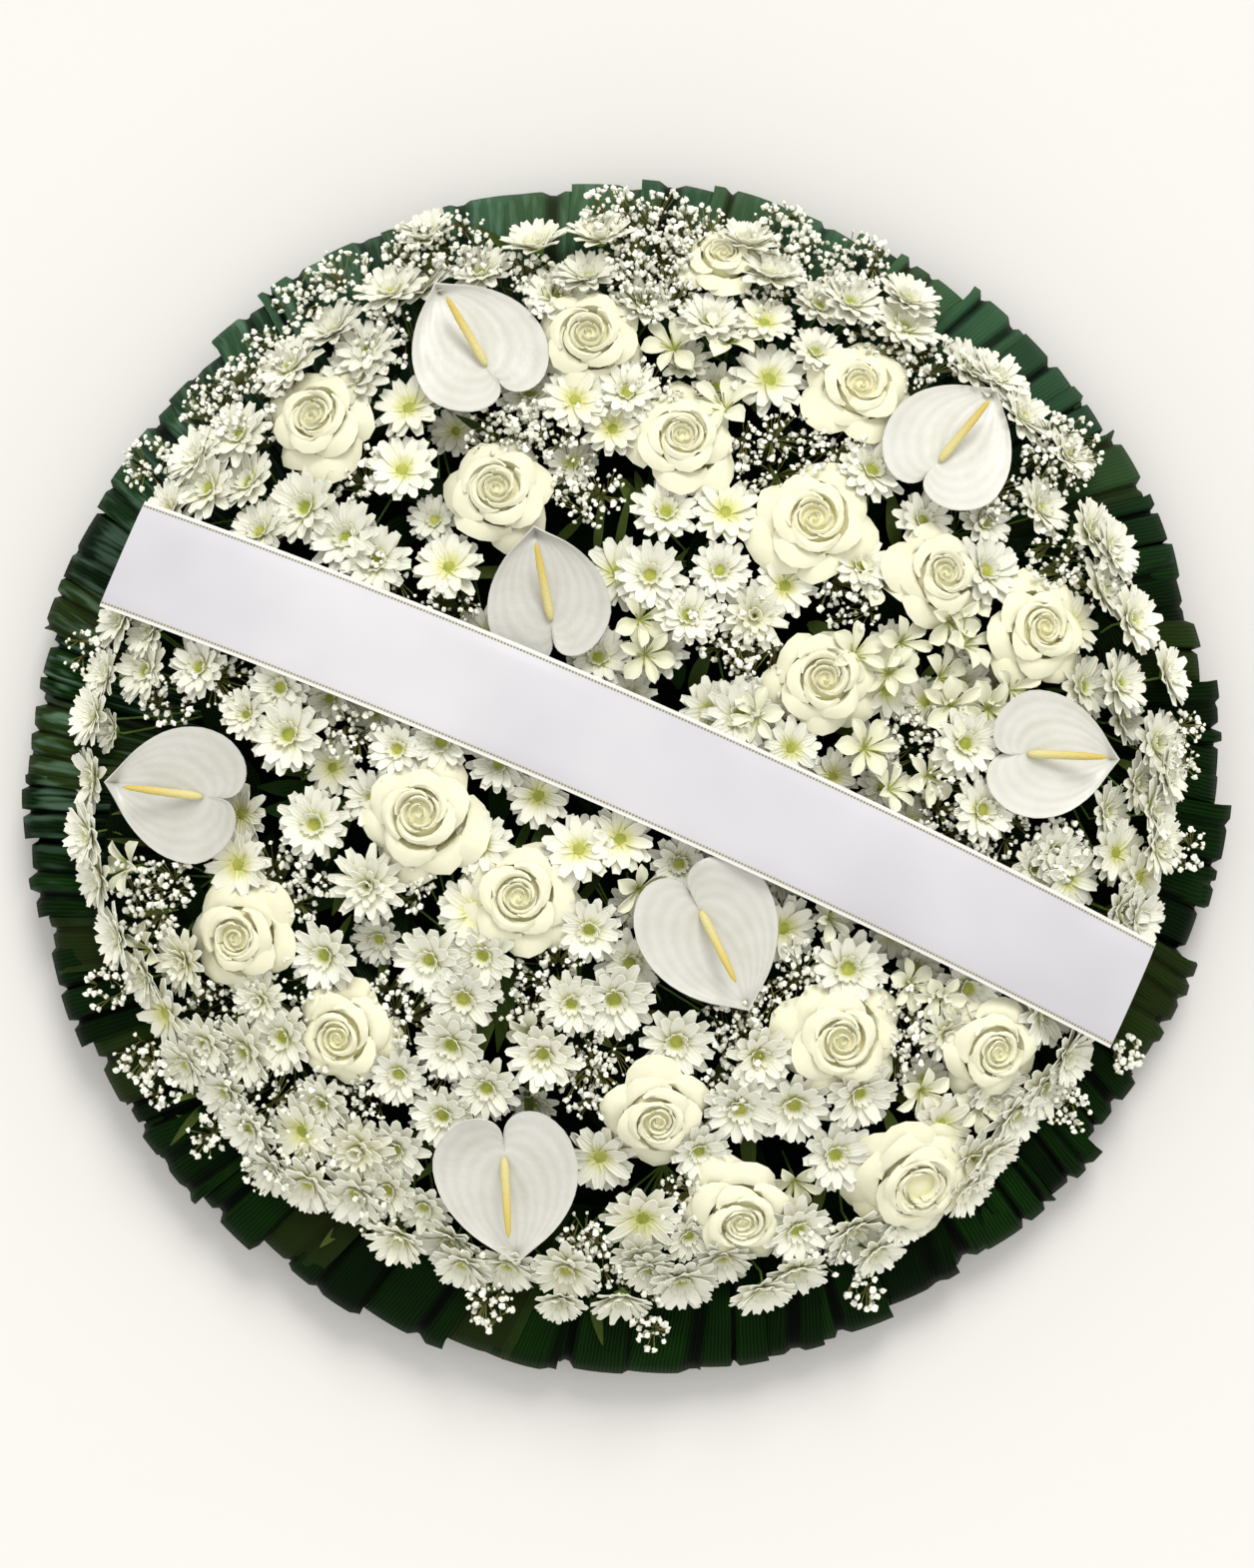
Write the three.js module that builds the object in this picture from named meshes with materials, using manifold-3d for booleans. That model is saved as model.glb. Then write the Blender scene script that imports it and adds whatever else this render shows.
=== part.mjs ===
// Memorial wreath: a round, domed cushion of white flowers set in a foam base,
// edged with a collar of folded and pleated leaves and crossed by a plain satin
// sash. It lies flat with its flowers up.
//
// Millimetres, +Z up, origin at the centre of the board's underside.
import * as THREE from 'three';
import { mergeVertices } from 'three/addons/utils/BufferGeometryUtils.js';
import Module from 'manifold-3d';

const wasm = await Module();
wasm.setup();

const GAP = 0.35; // clear space kept between touching pieces

// ---- Base ------------------------------------------------------------------
const BOARD = { radius: 318, thickness: 15, bevel: 3, segments: 32 };
const FOAM = { radius: 312, side: 40, crown: 88, segments: 28 };

// ---- Dome that the flower heads follow --------------------------------------
const FACE = { reach: 400, crown: 128, rim: 66, power: 2.4 };
const CENTRE_LEAN = 22; // degrees of outward lean at 300 mm from the centre
const RIM_LEAN = 38; // degrees more at the outermost flowers
const RIM_STARTS = 300;
const RIM_ENDS = 378;
const HEAVY_LEAN = 0.8; // share of it that roses and anthuriums take

// ---- Leaf collar --------------------------------------------------------------
const COLLAR = {
  leaves: 5,
  lap: 4, // degrees by which one leaf runs over the next
  lift: 3.6, // how far the lapping end stands off the leaf under it
  thickness: 1.2,
  pleat: 2.4, // half the depth of a pleat
  pleatPitch: 8, // degrees from one pleat to the next
  steps: 19,
};
// Middle of the leaf's thickness, from its pinned upper edge over the fold and
// back to the board: distance from the wreath's axis, height.
const COLLAR_PROFILE = [
  [304, 50], [346, 54], [390, 54], [418, 42], [422, 24], [402, 12], [334, 9],
];

// ---- Satin sash ---------------------------------------------------------------
const SASH = {
  start: [-351, 157],
  end: [356, -152],
  bow: 13, // sideways bow of its middle line
  width: 80,
  thickness: 1.2,
  lift: 20, // height of its underside over the flowers' dome
  sag: 2, // how far its two edges sink
  steps: 22,
};

// ---- Flowers ------------------------------------------------------------------
const STEM = { rose: 3, anthurium: 3, spray: 2.6, branch: 1.8, depth: 24 };
// A stem's cut end lies nearer to the wreath's axis than its flower: in
// proportion up to the shoulder of the foam, and hardly further out beyond it.
const STEM_LEAN = { inner: 0.93, shoulder: 250, outer: 0.15 };
const FORK_HEIGHT = 13; // over the foam, where a spray's branches part
const ROSE_DROP = 2; // below the dome
const ANTHURIUM_RISE = 7; // over the dome

const SPATHE = { thickness: 1.6, cup: 11, segments: 14 };
// Heart outline from the foot of the spadix: degrees from the tip, distance as a
// share of the length from foot to tip.
const SPATHE_OUTLINE = [
  [0, 1.0], [26, 0.75], [51, 0.66], [77, 0.625], [103, 0.61], [129, 0.58], [154, 0.42],
  [180, 0.1],
];
const SPADIX = { raise: 24, segments: 7 };
const SPADIX_PROFILE = [[0, 0], [4.3, 0], [3.9, 40], [2.2, 54.5], [0, 56]];

// Rose head, from the calyx to the heart: [share of radius, share of radius up,
// depth of the petal lobes, turn of the lobes in petals].
const ROSE_PETALS = 5;
const ROSE_SEGMENTS = 10;
const ROSE_PROFILE = [
  [0, -0.34, 0, 0], [0.98, 0.1, 0.05, 0], [0.78, 0.22, 0, 0], [0.7, 0.5, 0.05, 0.5],
  [0.42, 0.4, 0, 0], [0.34, 0.6, 0.04, 0], [0, 0.5, 0, 0],
];

const DAISY_PETALS = 7;
const ALSTROEMERIA_PETALS = 6;
const DAISY = { under: -0.26, disc: 0.08, edge: 0.17, notch: 0.74 };

// Foot of each anthurium's spadix, the direction in which its tip points (degrees
// from +X) and its length from foot to tip.
const ANTHURIUMS = [
  { at: [-95, 285], heading: 121, length: 74 },
  { at: [218, 219], heading: 51, length: 73 },
  { at: [-291, -13], heading: 172, length: 75 },
  { at: [-51, 110], heading: 100, length: 62 },
  { at: [278, 17], heading: -3, length: 70 },
  { at: [-83, -261], heading: -85, length: 80 },
  { at: [52, -90], heading: -64, length: 77 },
];

// Centre of each rose and its radius.
const ROSES = [
  [-24, 304, 35], [-210, 246, 36], [161, 268, 35], [40, 232, 34], [-86, 195, 35],
  [129, 175, 38], [216, 139, 34], [285, 103, 33], [135, 66, 34], [-137, -25, 40],
  [-262, -109, 36], [-71, -82, 36], [-192, -176, 34], [147, -179, 38], [23, -230, 35],
  [81, -299, 35], [254, -186, 34], [68, 360, 26],
];
const LISIANTHUS = [201, -276, 40];

// Sprays of chrysanthemums: where the branches part, then each head's centre and
// radius.
const SPRAYS = [
  { fork: [-236, 190], heads: [
    [-300, 225, 24], [-319, 188, 22], [-234, 288, 24], [-204, 314, 24], [-262, 206, 22],
  ] },
  { fork: [-132, 250], heads: [
    [-163, 341, 24], [-180, 298, 24], [-150, 258, 24], [-154, 214, 23], [-62, 372, 24],
  ] },
  { fork: [-40, 258], heads: [
    [-16, 378, 23], [-46, 336, 25], [-34, 262, 22], [-8, 242, 20],
  ] },
  { fork: [98, 266], heads: [
    [103, 352, 24], [60, 318, 23], [101, 278, 25], [158, 333, 24], [196, 316, 24],
  ] },
  { fork: [232, 172], heads: [
    [243, 288, 24], [280, 254, 24], [291, 189, 22], [328, 172, 24], [172, 214, 23],
  ] },
  { fork: [286, 62], heads: [
    [356, 110, 24], [346, 66, 23], [373, 24, 23], [370, -22, 23], [344, -52, 22],
  ] },
  { fork: [262, -58], heads: [
    [310, -70, 24], [349, -94, 23], [248, -22, 23], [271, -104, 22],
  ] },
  { fork: [216, -208], heads: [
    [239, -146, 23], [295, -165, 24], [319, -200, 24], [282, -242, 24], [250, -276, 24],
  ] },
  { fork: [152, -240], heads: [
    [147, -262, 24], [163, -218, 24], [166, -326, 25], [122, -318, 24], [124, -356, 22],
  ] },
  { fork: [28, -272], heads: [
    [41, -362, 24], [-2, -374, 22], [-41, -352, 24], [13, -306, 26], [-17, -264, 24],
  ] },
  { fork: [-146, -252], heads: [
    [-84, -352, 22], [-124, -334, 24], [-162, -331, 22], [-192, -298, 25],
    [-160, -258, 23], [-126, -234, 22],
  ] },
  { fork: [-232, -192], heads: [
    [-228, -292, 24], [-226, -248, 24], [-270, -252, 22], [-264, -190, 26],
  ] },
  { fork: [-290, -70], heads: [
    [-330, -169, 24], [-308, -128, 23], [-358, -112, 22], [-369, -70, 23], [-268, -60, 24],
  ] },
  { fork: [-262, 52], heads: [
    [-375, 0, 22], [-372, 44, 22], [-334, 75, 23], [-352, 112, 22], [-232, 30, 26],
    [-214, -32, 24],
  ] },
  { fork: [-118, -112], heads: [
    [-177, -74, 26], [-207, -122, 24], [-134, -125, 24], [-97, -122, 22], [-119, -184, 25],
  ] },
  { fork: [50, 152], heads: [
    [29, 184, 23], [70, 184, 23], [18, 140, 23], [66, 143, 20], [90, 112, 24],
  ] },
  { fork: [18, -140], heads: [
    [-7, -152, 26], [-56, -190, 25], [-24, -104, 22], [36, -182, 25], [110, -104, 22],
    [93, -192, 23],
  ] },
];

// Stem of alstroemeria, given in the same way.
const ALSTROEMERIAS = [
  { fork: [196, 62], heads: [
    [191, 94, 20], [226, 50, 22], [166, 20, 22], [92, 42, 20], [210, 2, 20], [176, 134, 20],
  ] },
];

// Sprig of gypsophila: where the branches part, then the centre of each puff.
const GYPSOPHILA = { fork: [-172, 108], puffs: [
  [-220, 128], [-206, 162], [-168, 168], [-132, 156], [-142, 120], [-104, 140], [-238, 160],
] };
const PUFF_RADIUS = 4.5;
const SPRIG_RADIUS = 1.1;

// ---- Finishes -------------------------------------------------------------------
const finish = (color, roughness) => new THREE.MeshStandardMaterial({
  color,
  roughness,
  metalness: 0,
});
const FINISHES = {
  board: finish(0xe9ebe6, 0.8),
  foam: finish(0x2f5a38, 0.95),
  leaf: finish(0x1c3a1c, 0.4),
  spathe: finish(0xf1f0ec, 0.35),
  spadix: finish(0xe5c64b, 0.55),
  rose: finish(0xf4efdc, 0.6),
  daisy: finish(0xf2f2ee, 0.65),
  gypsophila: finish(0xf6f6f2, 0.8),
  satin: finish(0xe9e7ea, 0.4),
};

const radians = THREE.MathUtils.degToRad;

// ---- Heights and directions ----------------------------------------------------
function foamTop(distance) {
  const share = (distance / FOAM.radius) ** FACE.power;
  return FOAM.crown - (FOAM.crown - FOAM.side) * share;
}

function faceHeight(distance) {
  const share = (distance / FACE.reach) ** FACE.power;
  return FACE.crown - (FACE.crown - FACE.rim) * share;
}

function outwardLean(distance) {
  const rim = THREE.MathUtils.smoothstep(distance, RIM_STARTS, RIM_ENDS);
  return radians((CENTRE_LEAN * distance) / RIM_STARTS + RIM_LEAN * rim);
}

// Turn of a head about its own stem, different from place to place.
const spinOf = (x, y) => radians(7 * x + 11 * y);

function onFace([x, y], rise) {
  return new THREE.Vector3(x, y, faceHeight(Math.hypot(x, y)) + rise);
}

// Turn and move that stand a flower at a point, leaning out from the wreath's
// axis, with its own +X towards the heading.
function standing(point, lean, heading = 0) {
  const outward = Math.atan2(point.y, point.x);
  const matrix = new THREE.Matrix4().makeRotationZ(outward);
  matrix.multiply(new THREE.Matrix4().makeRotationY(lean));
  matrix.multiply(new THREE.Matrix4().makeRotationZ(heading - outward));
  return matrix.setPosition(point);
}

// ---- Solids ----------------------------------------------------------------------
function toSolid(geometry) {
  const bare = geometry.clone();
  bare.deleteAttribute('normal');
  bare.deleteAttribute('uv');
  const merged = mergeVertices(bare);
  const corners = merged.index.array;
  const triangles = [];
  for (let i = 0; i < corners.length; i += 3) {
    const [a, b, c] = corners.subarray(i, i + 3);
    if (a !== b && b !== c && c !== a) triangles.push(a, b, c);
  }
  return new wasm.Manifold(new wasm.Mesh({
    numProp: 3,
    vertProperties: new Float32Array(merged.attributes.position.array),
    triVerts: new Uint32Array(triangles),
  }));
}

const joined = (solids) => wasm.Manifold.union(solids);

function largestPiece(solid) {
  const pieces = solid.decompose();
  return pieces.reduce((best, piece) => (piece.volume() > best.volume() ? piece : best));
}

function toMesh(name, solid, material, pivot = new THREE.Vector3()) {
  const { vertProperties, triVerts } = solid.getMesh();
  const geometry = new THREE.BufferGeometry();
  geometry.setAttribute('position', new THREE.BufferAttribute(vertProperties, 3));
  geometry.setIndex(new THREE.BufferAttribute(triVerts, 1));
  geometry.translate(-pivot.x, -pivot.y, -pivot.z);
  geometry.computeVertexNormals();
  const mesh = new THREE.Mesh(geometry, material);
  mesh.name = name;
  mesh.position.copy(pivot);
  return mesh;
}

// Moves every corner of a geometry to where a function sends it.
function reshape(geometry, move) {
  const corners = geometry.attributes.position;
  const point = new THREE.Vector3();
  for (let i = 0; i < corners.count; i += 1) {
    point.fromBufferAttribute(corners, i);
    move(point);
    corners.setXYZ(i, point.x, point.y, point.z);
  }
  return geometry;
}

// Turned body on the Z axis, its first corner on +X, from a profile of
// [radius, height] points.
function turned(profile, segments) {
  const points = profile.map(([radius, height]) => new THREE.Vector2(radius, height));
  const body = new THREE.LatheGeometry(points, segments);
  return body.rotateX(Math.PI / 2).rotateZ(Math.PI / 2);
}

function rod(from, to, radius, sides) {
  const along = new THREE.Vector3().subVectors(to, from);
  const geometry = new THREE.CylinderGeometry(radius, radius, along.length(), sides);
  const turn = new THREE.Quaternion();
  turn.setFromUnitVectors(new THREE.Vector3(0, 1, 0), along.normalize());
  geometry.applyQuaternion(turn);
  geometry.translate((from.x + to.x) / 2, (from.y + to.y) / 2, (from.z + to.z) / 2);
  return toSolid(geometry);
}

// Cut end of a stem, in the foam under a point.
function stemFoot({ x, y }) {
  const { inner, shoulder, outer } = STEM_LEAN;
  const distance = Math.hypot(x, y);
  const beyond = Math.max(distance - shoulder, 0);
  const footDistance = Math.min(distance, shoulder) * inner + beyond * outer;
  const share = footDistance / distance;
  const height = foamTop(footDistance) - STEM.depth;
  return new THREE.Vector3(x * share, y * share, height);
}

// ---- Flower shapes -----------------------------------------------------------------
function roseHead(radius, margin) {
  const profile = ROSE_PROFILE.map(([out, up]) => [out, up]);
  const head = turned(profile, ROSE_SEGMENTS);
  const scale = radius + margin;
  reshape(head, (point) => {
    const out = Math.hypot(point.x, point.y);
    const ring = ROSE_PROFILE.find((entry) => (
      Math.abs(entry[0] - out) < 1e-3 && Math.abs(entry[1] - point.z) < 1e-3
    ));
    const angle = Math.atan2(point.y, point.x) + (ring[3] * 2 * Math.PI) / ROSE_PETALS;
    const lobes = 1 + ring[2] * Math.cos(angle * ROSE_PETALS);
    point.set(point.x * lobes * scale, point.y * lobes * scale, point.z * scale);
  });
  return head;
}

// Shallow star: a daisy-shaped flower with pointed petals.
function starHead(radius, petals, margin) {
  const { under, edge, disc, notch } = DAISY;
  const rise = 1.5 * margin;
  const profile = [[0, under * radius - rise], [1, edge * radius], [0, disc * radius + rise]];
  const sides = petals * 2;
  const head = turned(profile, sides);
  return reshape(head, (point) => {
    const step = Math.round((Math.atan2(point.y, point.x) * sides) / (2 * Math.PI));
    const reach = (step % 2 === 0 ? 1 : notch) * radius + 3 * margin;
    point.set(point.x * reach, point.y * reach, point.z);
  });
}

function spatheReach(angle) {
  const degrees = Math.abs(THREE.MathUtils.radToDeg(angle));
  const next = SPATHE_OUTLINE.findIndex(([at]) => at >= degrees - 1e-6);
  if (next === 0) return SPATHE_OUTLINE[0][1];
  const [fromAngle, fromReach] = SPATHE_OUTLINE[next - 1];
  const [toAngle, toReach] = SPATHE_OUTLINE[next];
  const share = (degrees - fromAngle) / (toAngle - fromAngle);
  return THREE.MathUtils.lerp(fromReach, toReach, share);
}

// Heart-shaped leaf, cupped upwards, with its foot at the origin and its tip
// towards +X.
function spatheLeaf(length, margin) {
  const half = SPATHE.thickness / 2 + margin;
  const profile = [[0, -1], [0.5, -1], [1, -1], [1, 1], [0.5, 1], [0, 1]];
  const leaf = turned(profile, SPATHE.segments);
  return reshape(leaf, (point) => {
    const out = Math.hypot(point.x, point.y);
    const angle = Math.atan2(point.y, point.x);
    const reach = out * (spatheReach(angle) * length + margin);
    const side = Math.abs(Math.sin(angle));
    const cup = SPATHE.cup * out * out * (0.25 + 0.75 * side);
    point.set(reach * Math.cos(angle), reach * Math.sin(angle), cup + point.z * half);
  });
}

function spadixCone(margin) {
  const profile = SPADIX_PROFILE.map(([radius, along], index) => {
    const isTip = index === SPADIX_PROFILE.length - 1;
    return [radius === 0 ? 0 : radius + margin, along + (isTip ? margin : 0)];
  });
  const cone = turned(profile, SPADIX.segments);
  return cone.rotateY(radians(90 - SPADIX.raise));
}

// ---- Base --------------------------------------------------------------------------
function makeBoard() {
  const { radius, thickness, bevel } = BOARD;
  const profile = [
    [0, 0], [radius - bevel, 0], [radius, bevel], [radius, thickness - bevel],
    [radius - bevel, thickness], [0, thickness],
  ];
  return toSolid(turned(profile, BOARD.segments));
}

function makeFoam(sockets) {
  const bottom = BOARD.thickness + GAP;
  const profile = [[0, bottom], [FOAM.radius - 4, bottom], [FOAM.radius, bottom + 4]];
  for (const share of [1, 0.94, 0.8, 0.5]) {
    profile.push([FOAM.radius * share, foamTop(FOAM.radius * share)]);
  }
  profile.push([0, FOAM.crown]);
  return toSolid(turned(profile, FOAM.segments)).subtract(joined(sockets));
}

// ---- Leaf collar ---------------------------------------------------------------------
const COLLAR_POINTS = COLLAR_PROFILE.map(([out, up]) => new THREE.Vector2(out, up));

// Direction square to the leaf at a profile point, away from the inside of the fold.
function collarNormal(index) {
  const before = COLLAR_POINTS[Math.max(index - 1, 0)];
  const after = COLLAR_POINTS[Math.min(index + 1, COLLAR_POINTS.length - 1)];
  const along = new THREE.Vector2().subVectors(after, before).normalize();
  return new THREE.Vector2(-along.y, along.x);
}

// Point of a leaf at an angle, off the middle of its thickness by an offset. The leaf
// stands off more and more from the profile, so that its far end laps over the next.
function collarPoint(index, degrees, from, offset) {
  const rim = THREE.MathUtils.smoothstep(COLLAR_PROFILE[index][0], 340, 410);
  const pleat = Math.cos((2 * Math.PI * degrees) / COLLAR.pleatPitch);
  const share = THREE.MathUtils.clamp((degrees - from) / (360 / COLLAR.leaves), 0, 1);
  const away = offset + COLLAR.lift * share + COLLAR.pleat * pleat * rim;
  const { x: out, y: up } = collarNormal(index).multiplyScalar(away).add(COLLAR_POINTS[index]);
  const angle = radians(degrees);
  return [out * Math.cos(angle), out * Math.sin(angle), up];
}

// Closed wall between two equal grids of points. Both are split along the same
// diagonals, so the wall keeps its thickness where it twists.
function wallBetween(outer, inner) {
  const rows = outer.length;
  const columns = outer[0].length;
  const at = (side, row, column) => (side * rows + row) * columns + column;
  const index = [];
  const addQuad = (a, b, c, d) => index.push(a, b, c, a, c, d);
  for (let row = 0; row + 1 < rows; row += 1) {
    for (let column = 0; column + 1 < columns; column += 1) {
      const corners = [[row, column], [row + 1, column], [row + 1, column + 1], [row, column + 1]];
      addQuad(...corners.map((corner) => at(0, ...corner)));
      const [a, b, c, d] = corners.map((corner) => at(1, ...corner));
      addQuad(a, d, c, b);
    }
  }
  const border = [];
  for (let column = 0; column < columns; column += 1) border.push([0, column]);
  for (let row = 1; row < rows; row += 1) border.push([row, columns - 1]);
  for (let column = columns - 2; column >= 0; column -= 1) border.push([rows - 1, column]);
  for (let row = rows - 2; row > 0; row -= 1) border.push([row, 0]);
  border.forEach((corner, position) => {
    const next = border[(position + 1) % border.length];
    addQuad(at(0, ...corner), at(0, ...next), at(1, ...next), at(1, ...corner));
  });
  const geometry = new THREE.BufferGeometry();
  const points = [...outer, ...inner].flat(2);
  geometry.setAttribute('position', new THREE.Float32BufferAttribute(points, 3));
  return geometry.setIndex(index);
}

// Strip of folded leaf from one angle to another.
function makeCollarLeaf(leaf, margin) {
  const span = 360 / COLLAR.leaves;
  const from = leaf * span - margin / 6;
  const to = (leaf + 1) * span + COLLAR.lap + margin / 6;
  const half = COLLAR.thickness / 2 + margin;
  const side = (offset) => {
    const rows = [];
    for (let step = 0; step <= COLLAR.steps; step += 1) {
      const degrees = THREE.MathUtils.lerp(to, from, step / COLLAR.steps);
      rows.push(COLLAR_PROFILE.map((entry, index) => collarPoint(index, degrees, from, offset)));
    }
    return rows;
  };
  return toSolid(wallBetween(side(half), side(-half)));
}

// ---- Sash ------------------------------------------------------------------------------
function makeSash(height, below, margin) {
  const start = new THREE.Vector2(...SASH.start);
  const end = new THREE.Vector2(...SASH.end);
  const chord = new THREE.Vector2().subVectors(end, start);
  const ahead = chord.clone().normalize();
  const across = new THREE.Vector2(-ahead.y, ahead.x);
  const length = chord.length() + 2 * margin;
  const width = SASH.width + 2 * margin;
  const sheet = new THREE.BoxGeometry(length, width, height, SASH.steps, 2, 1);
  reshape(sheet, (point) => {
    const along = (2 * point.x) / chord.length();
    const bow = SASH.bow * (1 - along * along);
    const middle = start.clone().add(end).multiplyScalar(0.5);
    middle.addScaledVector(ahead, point.x).addScaledVector(across, bow);
    const sag = SASH.sag * ((2 * point.y) / SASH.width) ** 2;
    const floor = faceHeight(middle.length()) + SASH.lift - sag - below;
    middle.addScaledVector(across, point.y);
    point.set(middle.x, middle.y, floor + point.z + height / 2);
  });
  return toSolid(sheet);
}

// ---- Assembly ------------------------------------------------------------------------
const wreath = new THREE.Group();
const sockets = [];
const taken = []; // space that later pieces keep clear of

function socketFor(from, radius) {
  const foot = stemFoot(from);
  const reach = new THREE.Vector3().subVectors(foot, from).setLength(1);
  sockets.push(rod(from, foot.add(reach), radius * 1.2 + GAP, 5));
}

const sashSolid = makeSash(SASH.thickness, 0, 0);
taken.push(makeSash(90, GAP, GAP));

const collar = [];
for (let index = 0; index < COLLAR.leaves; index += 1) {
  collar.push(makeCollarLeaf(index, 0));
  taken.push(makeCollarLeaf(index, GAP));
}

const anthuriums = ANTHURIUMS.map(({ at, heading, length }, index) => {
  const foot = onFace(at, ANTHURIUM_RISE);
  const stand = standing(foot, outwardLean(Math.hypot(...at)) * HEAVY_LEAN, radians(heading));
  const place = (geometry) => toSolid(geometry.applyMatrix4(stand));
  const start = foot.clone().add(new THREE.Vector3(0, 0, 1));
  const stem = rod(start, stemFoot(foot), STEM.anthurium, 5);
  const stemSpace = rod(start, stemFoot(foot), STEM.anthurium + GAP, 5);
  const spadix = place(spadixCone(0)).add(stem).subtract(taken[0]);
  const spadixSpace = place(spadixCone(GAP)).add(stemSpace);
  const others = joined(taken);
  const spathe = place(spatheLeaf(length, 0)).subtract(spadixSpace).subtract(others);
  taken.push(joined([place(spatheLeaf(length, GAP)), spadixSpace]));
  socketFor(foot, STEM.anthurium);
  return { label: `anthurium_${index + 1}`, foot, spadix, spathe };
});

function makeRose([x, y, radius]) {
  const centre = onFace([x, y], -ROSE_DROP);
  const lean = outwardLean(Math.hypot(x, y)) * HEAVY_LEAN;
  const stand = standing(centre, lean, spinOf(x, y));
  const place = (geometry) => toSolid(geometry.applyMatrix4(stand));
  const stem = rod(centre, stemFoot(centre), STEM.rose, 5);
  const whole = place(roseHead(radius, 0)).add(stem);
  const solid = largestPiece(whole.subtract(joined(taken)));
  const stemSpace = rod(centre, stemFoot(centre), STEM.rose + GAP, 5);
  taken.push(place(roseHead(radius, GAP)).add(stemSpace));
  socketFor(centre, STEM.rose);
  return { centre, solid };
}

function branchFork([x, y]) {
  return new THREE.Vector3(x, y, foamTop(Math.hypot(x, y)) + FORK_HEIGHT);
}

// A stem that parts into one branch for each head, with a margin all round.
function sprayParts({ fork, heads }, petals, margin) {
  const parting = branchFork(fork);
  const parts = [rod(parting, stemFoot(parting), STEM.spray + margin, 5)];
  for (const [x, y, radius] of heads) {
    const centre = onFace([x, y], 0);
    const stand = standing(centre, outwardLean(Math.hypot(x, y)), spinOf(x, y));
    const head = starHead(radius, petals, margin);
    parts.push(toSolid(head.applyMatrix4(stand)));
    parts.push(rod(parting, centre, STEM.branch + margin, 3));
  }
  return joined(parts);
}

function makeSpray(spray, petals) {
  const parting = branchFork(spray.fork);
  const solid = largestPiece(sprayParts(spray, petals, 0).subtract(joined(taken)));
  taken.push(sprayParts(spray, petals, GAP));
  socketFor(parting, STEM.spray);
  return { centre: parting, solid };
}

function makeSprig({ fork, puffs }) {
  const parting = branchFork(fork);
  const parts = [rod(parting, stemFoot(parting), SPRIG_RADIUS * 1.5, 5)];
  for (const place of puffs) {
    const centre = onFace(place, 0);
    const puff = new THREE.OctahedronGeometry(PUFF_RADIUS);
    parts.push(toSolid(puff.translate(centre.x, centre.y, centre.z)));
    parts.push(rod(parting, centre, SPRIG_RADIUS, 3));
  }
  const solid = largestPiece(joined(parts).subtract(joined(taken)));
  socketFor(parting, SPRIG_RADIUS * 1.5);
  return { centre: parting, solid };
}

const number = (index) => String(index + 1).padStart(2, '0');
const roses = ROSES.map(makeRose);
const lisianthus = makeRose(LISIANTHUS);
const sprays = SPRAYS.map((spray) => makeSpray(spray, DAISY_PETALS));
const alstroemerias = ALSTROEMERIAS.map((spray) => makeSpray(spray, ALSTROEMERIA_PETALS));
const sprig = makeSprig(GYPSOPHILA);

wreath.add(toMesh('backing_board', makeBoard(), FINISHES.board));
wreath.add(toMesh('floral_foam', makeFoam(sockets), FINISHES.foam));
collar.forEach((solid, index) => {
  wreath.add(toMesh(`collar_leaf_${number(index)}`, solid, FINISHES.leaf));
});
for (const { label, foot, spadix, spathe } of anthuriums) {
  wreath.add(toMesh(`${label}_spadix`, largestPiece(spadix), FINISHES.spadix, foot));
  wreath.add(toMesh(`${label}_spathe`, largestPiece(spathe), FINISHES.spathe, foot));
}
roses.forEach(({ centre, solid }, index) => {
  wreath.add(toMesh(`rose_${number(index)}`, solid, FINISHES.rose, centre));
});
wreath.add(toMesh('lisianthus', lisianthus.solid, FINISHES.rose, lisianthus.centre));
sprays.forEach(({ centre, solid }, index) => {
  wreath.add(toMesh(`chrysanthemum_spray_${number(index)}`, solid, FINISHES.daisy, centre));
});
alstroemerias.forEach(({ centre, solid }, index) => {
  wreath.add(toMesh(`alstroemeria_stem_${number(index)}`, solid, FINISHES.daisy, centre));
});
wreath.add(toMesh('gypsophila_sprig', sprig.solid, FINISHES.gypsophila, sprig.centre));
wreath.add(toMesh('sash', sashSolid, FINISHES.satin));

export default wreath;
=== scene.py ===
"""Memorial wreath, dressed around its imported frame.

A round, domed cushion of white flowers with a collar of folded leaves and a plain
satin sash, lying on a pale floor in soft studio light. All lengths are in metres, in
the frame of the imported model.
"""

import logging
from collections.abc import Callable, Iterable, Sequence
from dataclasses import dataclass, field
from enum import Enum
from math import acos, atan2, cos, dist, exp, hypot, pi, radians, sin, sqrt, tau
from random import Random

import bpy
import numpy as np
from mathutils import Matrix, Vector


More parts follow.
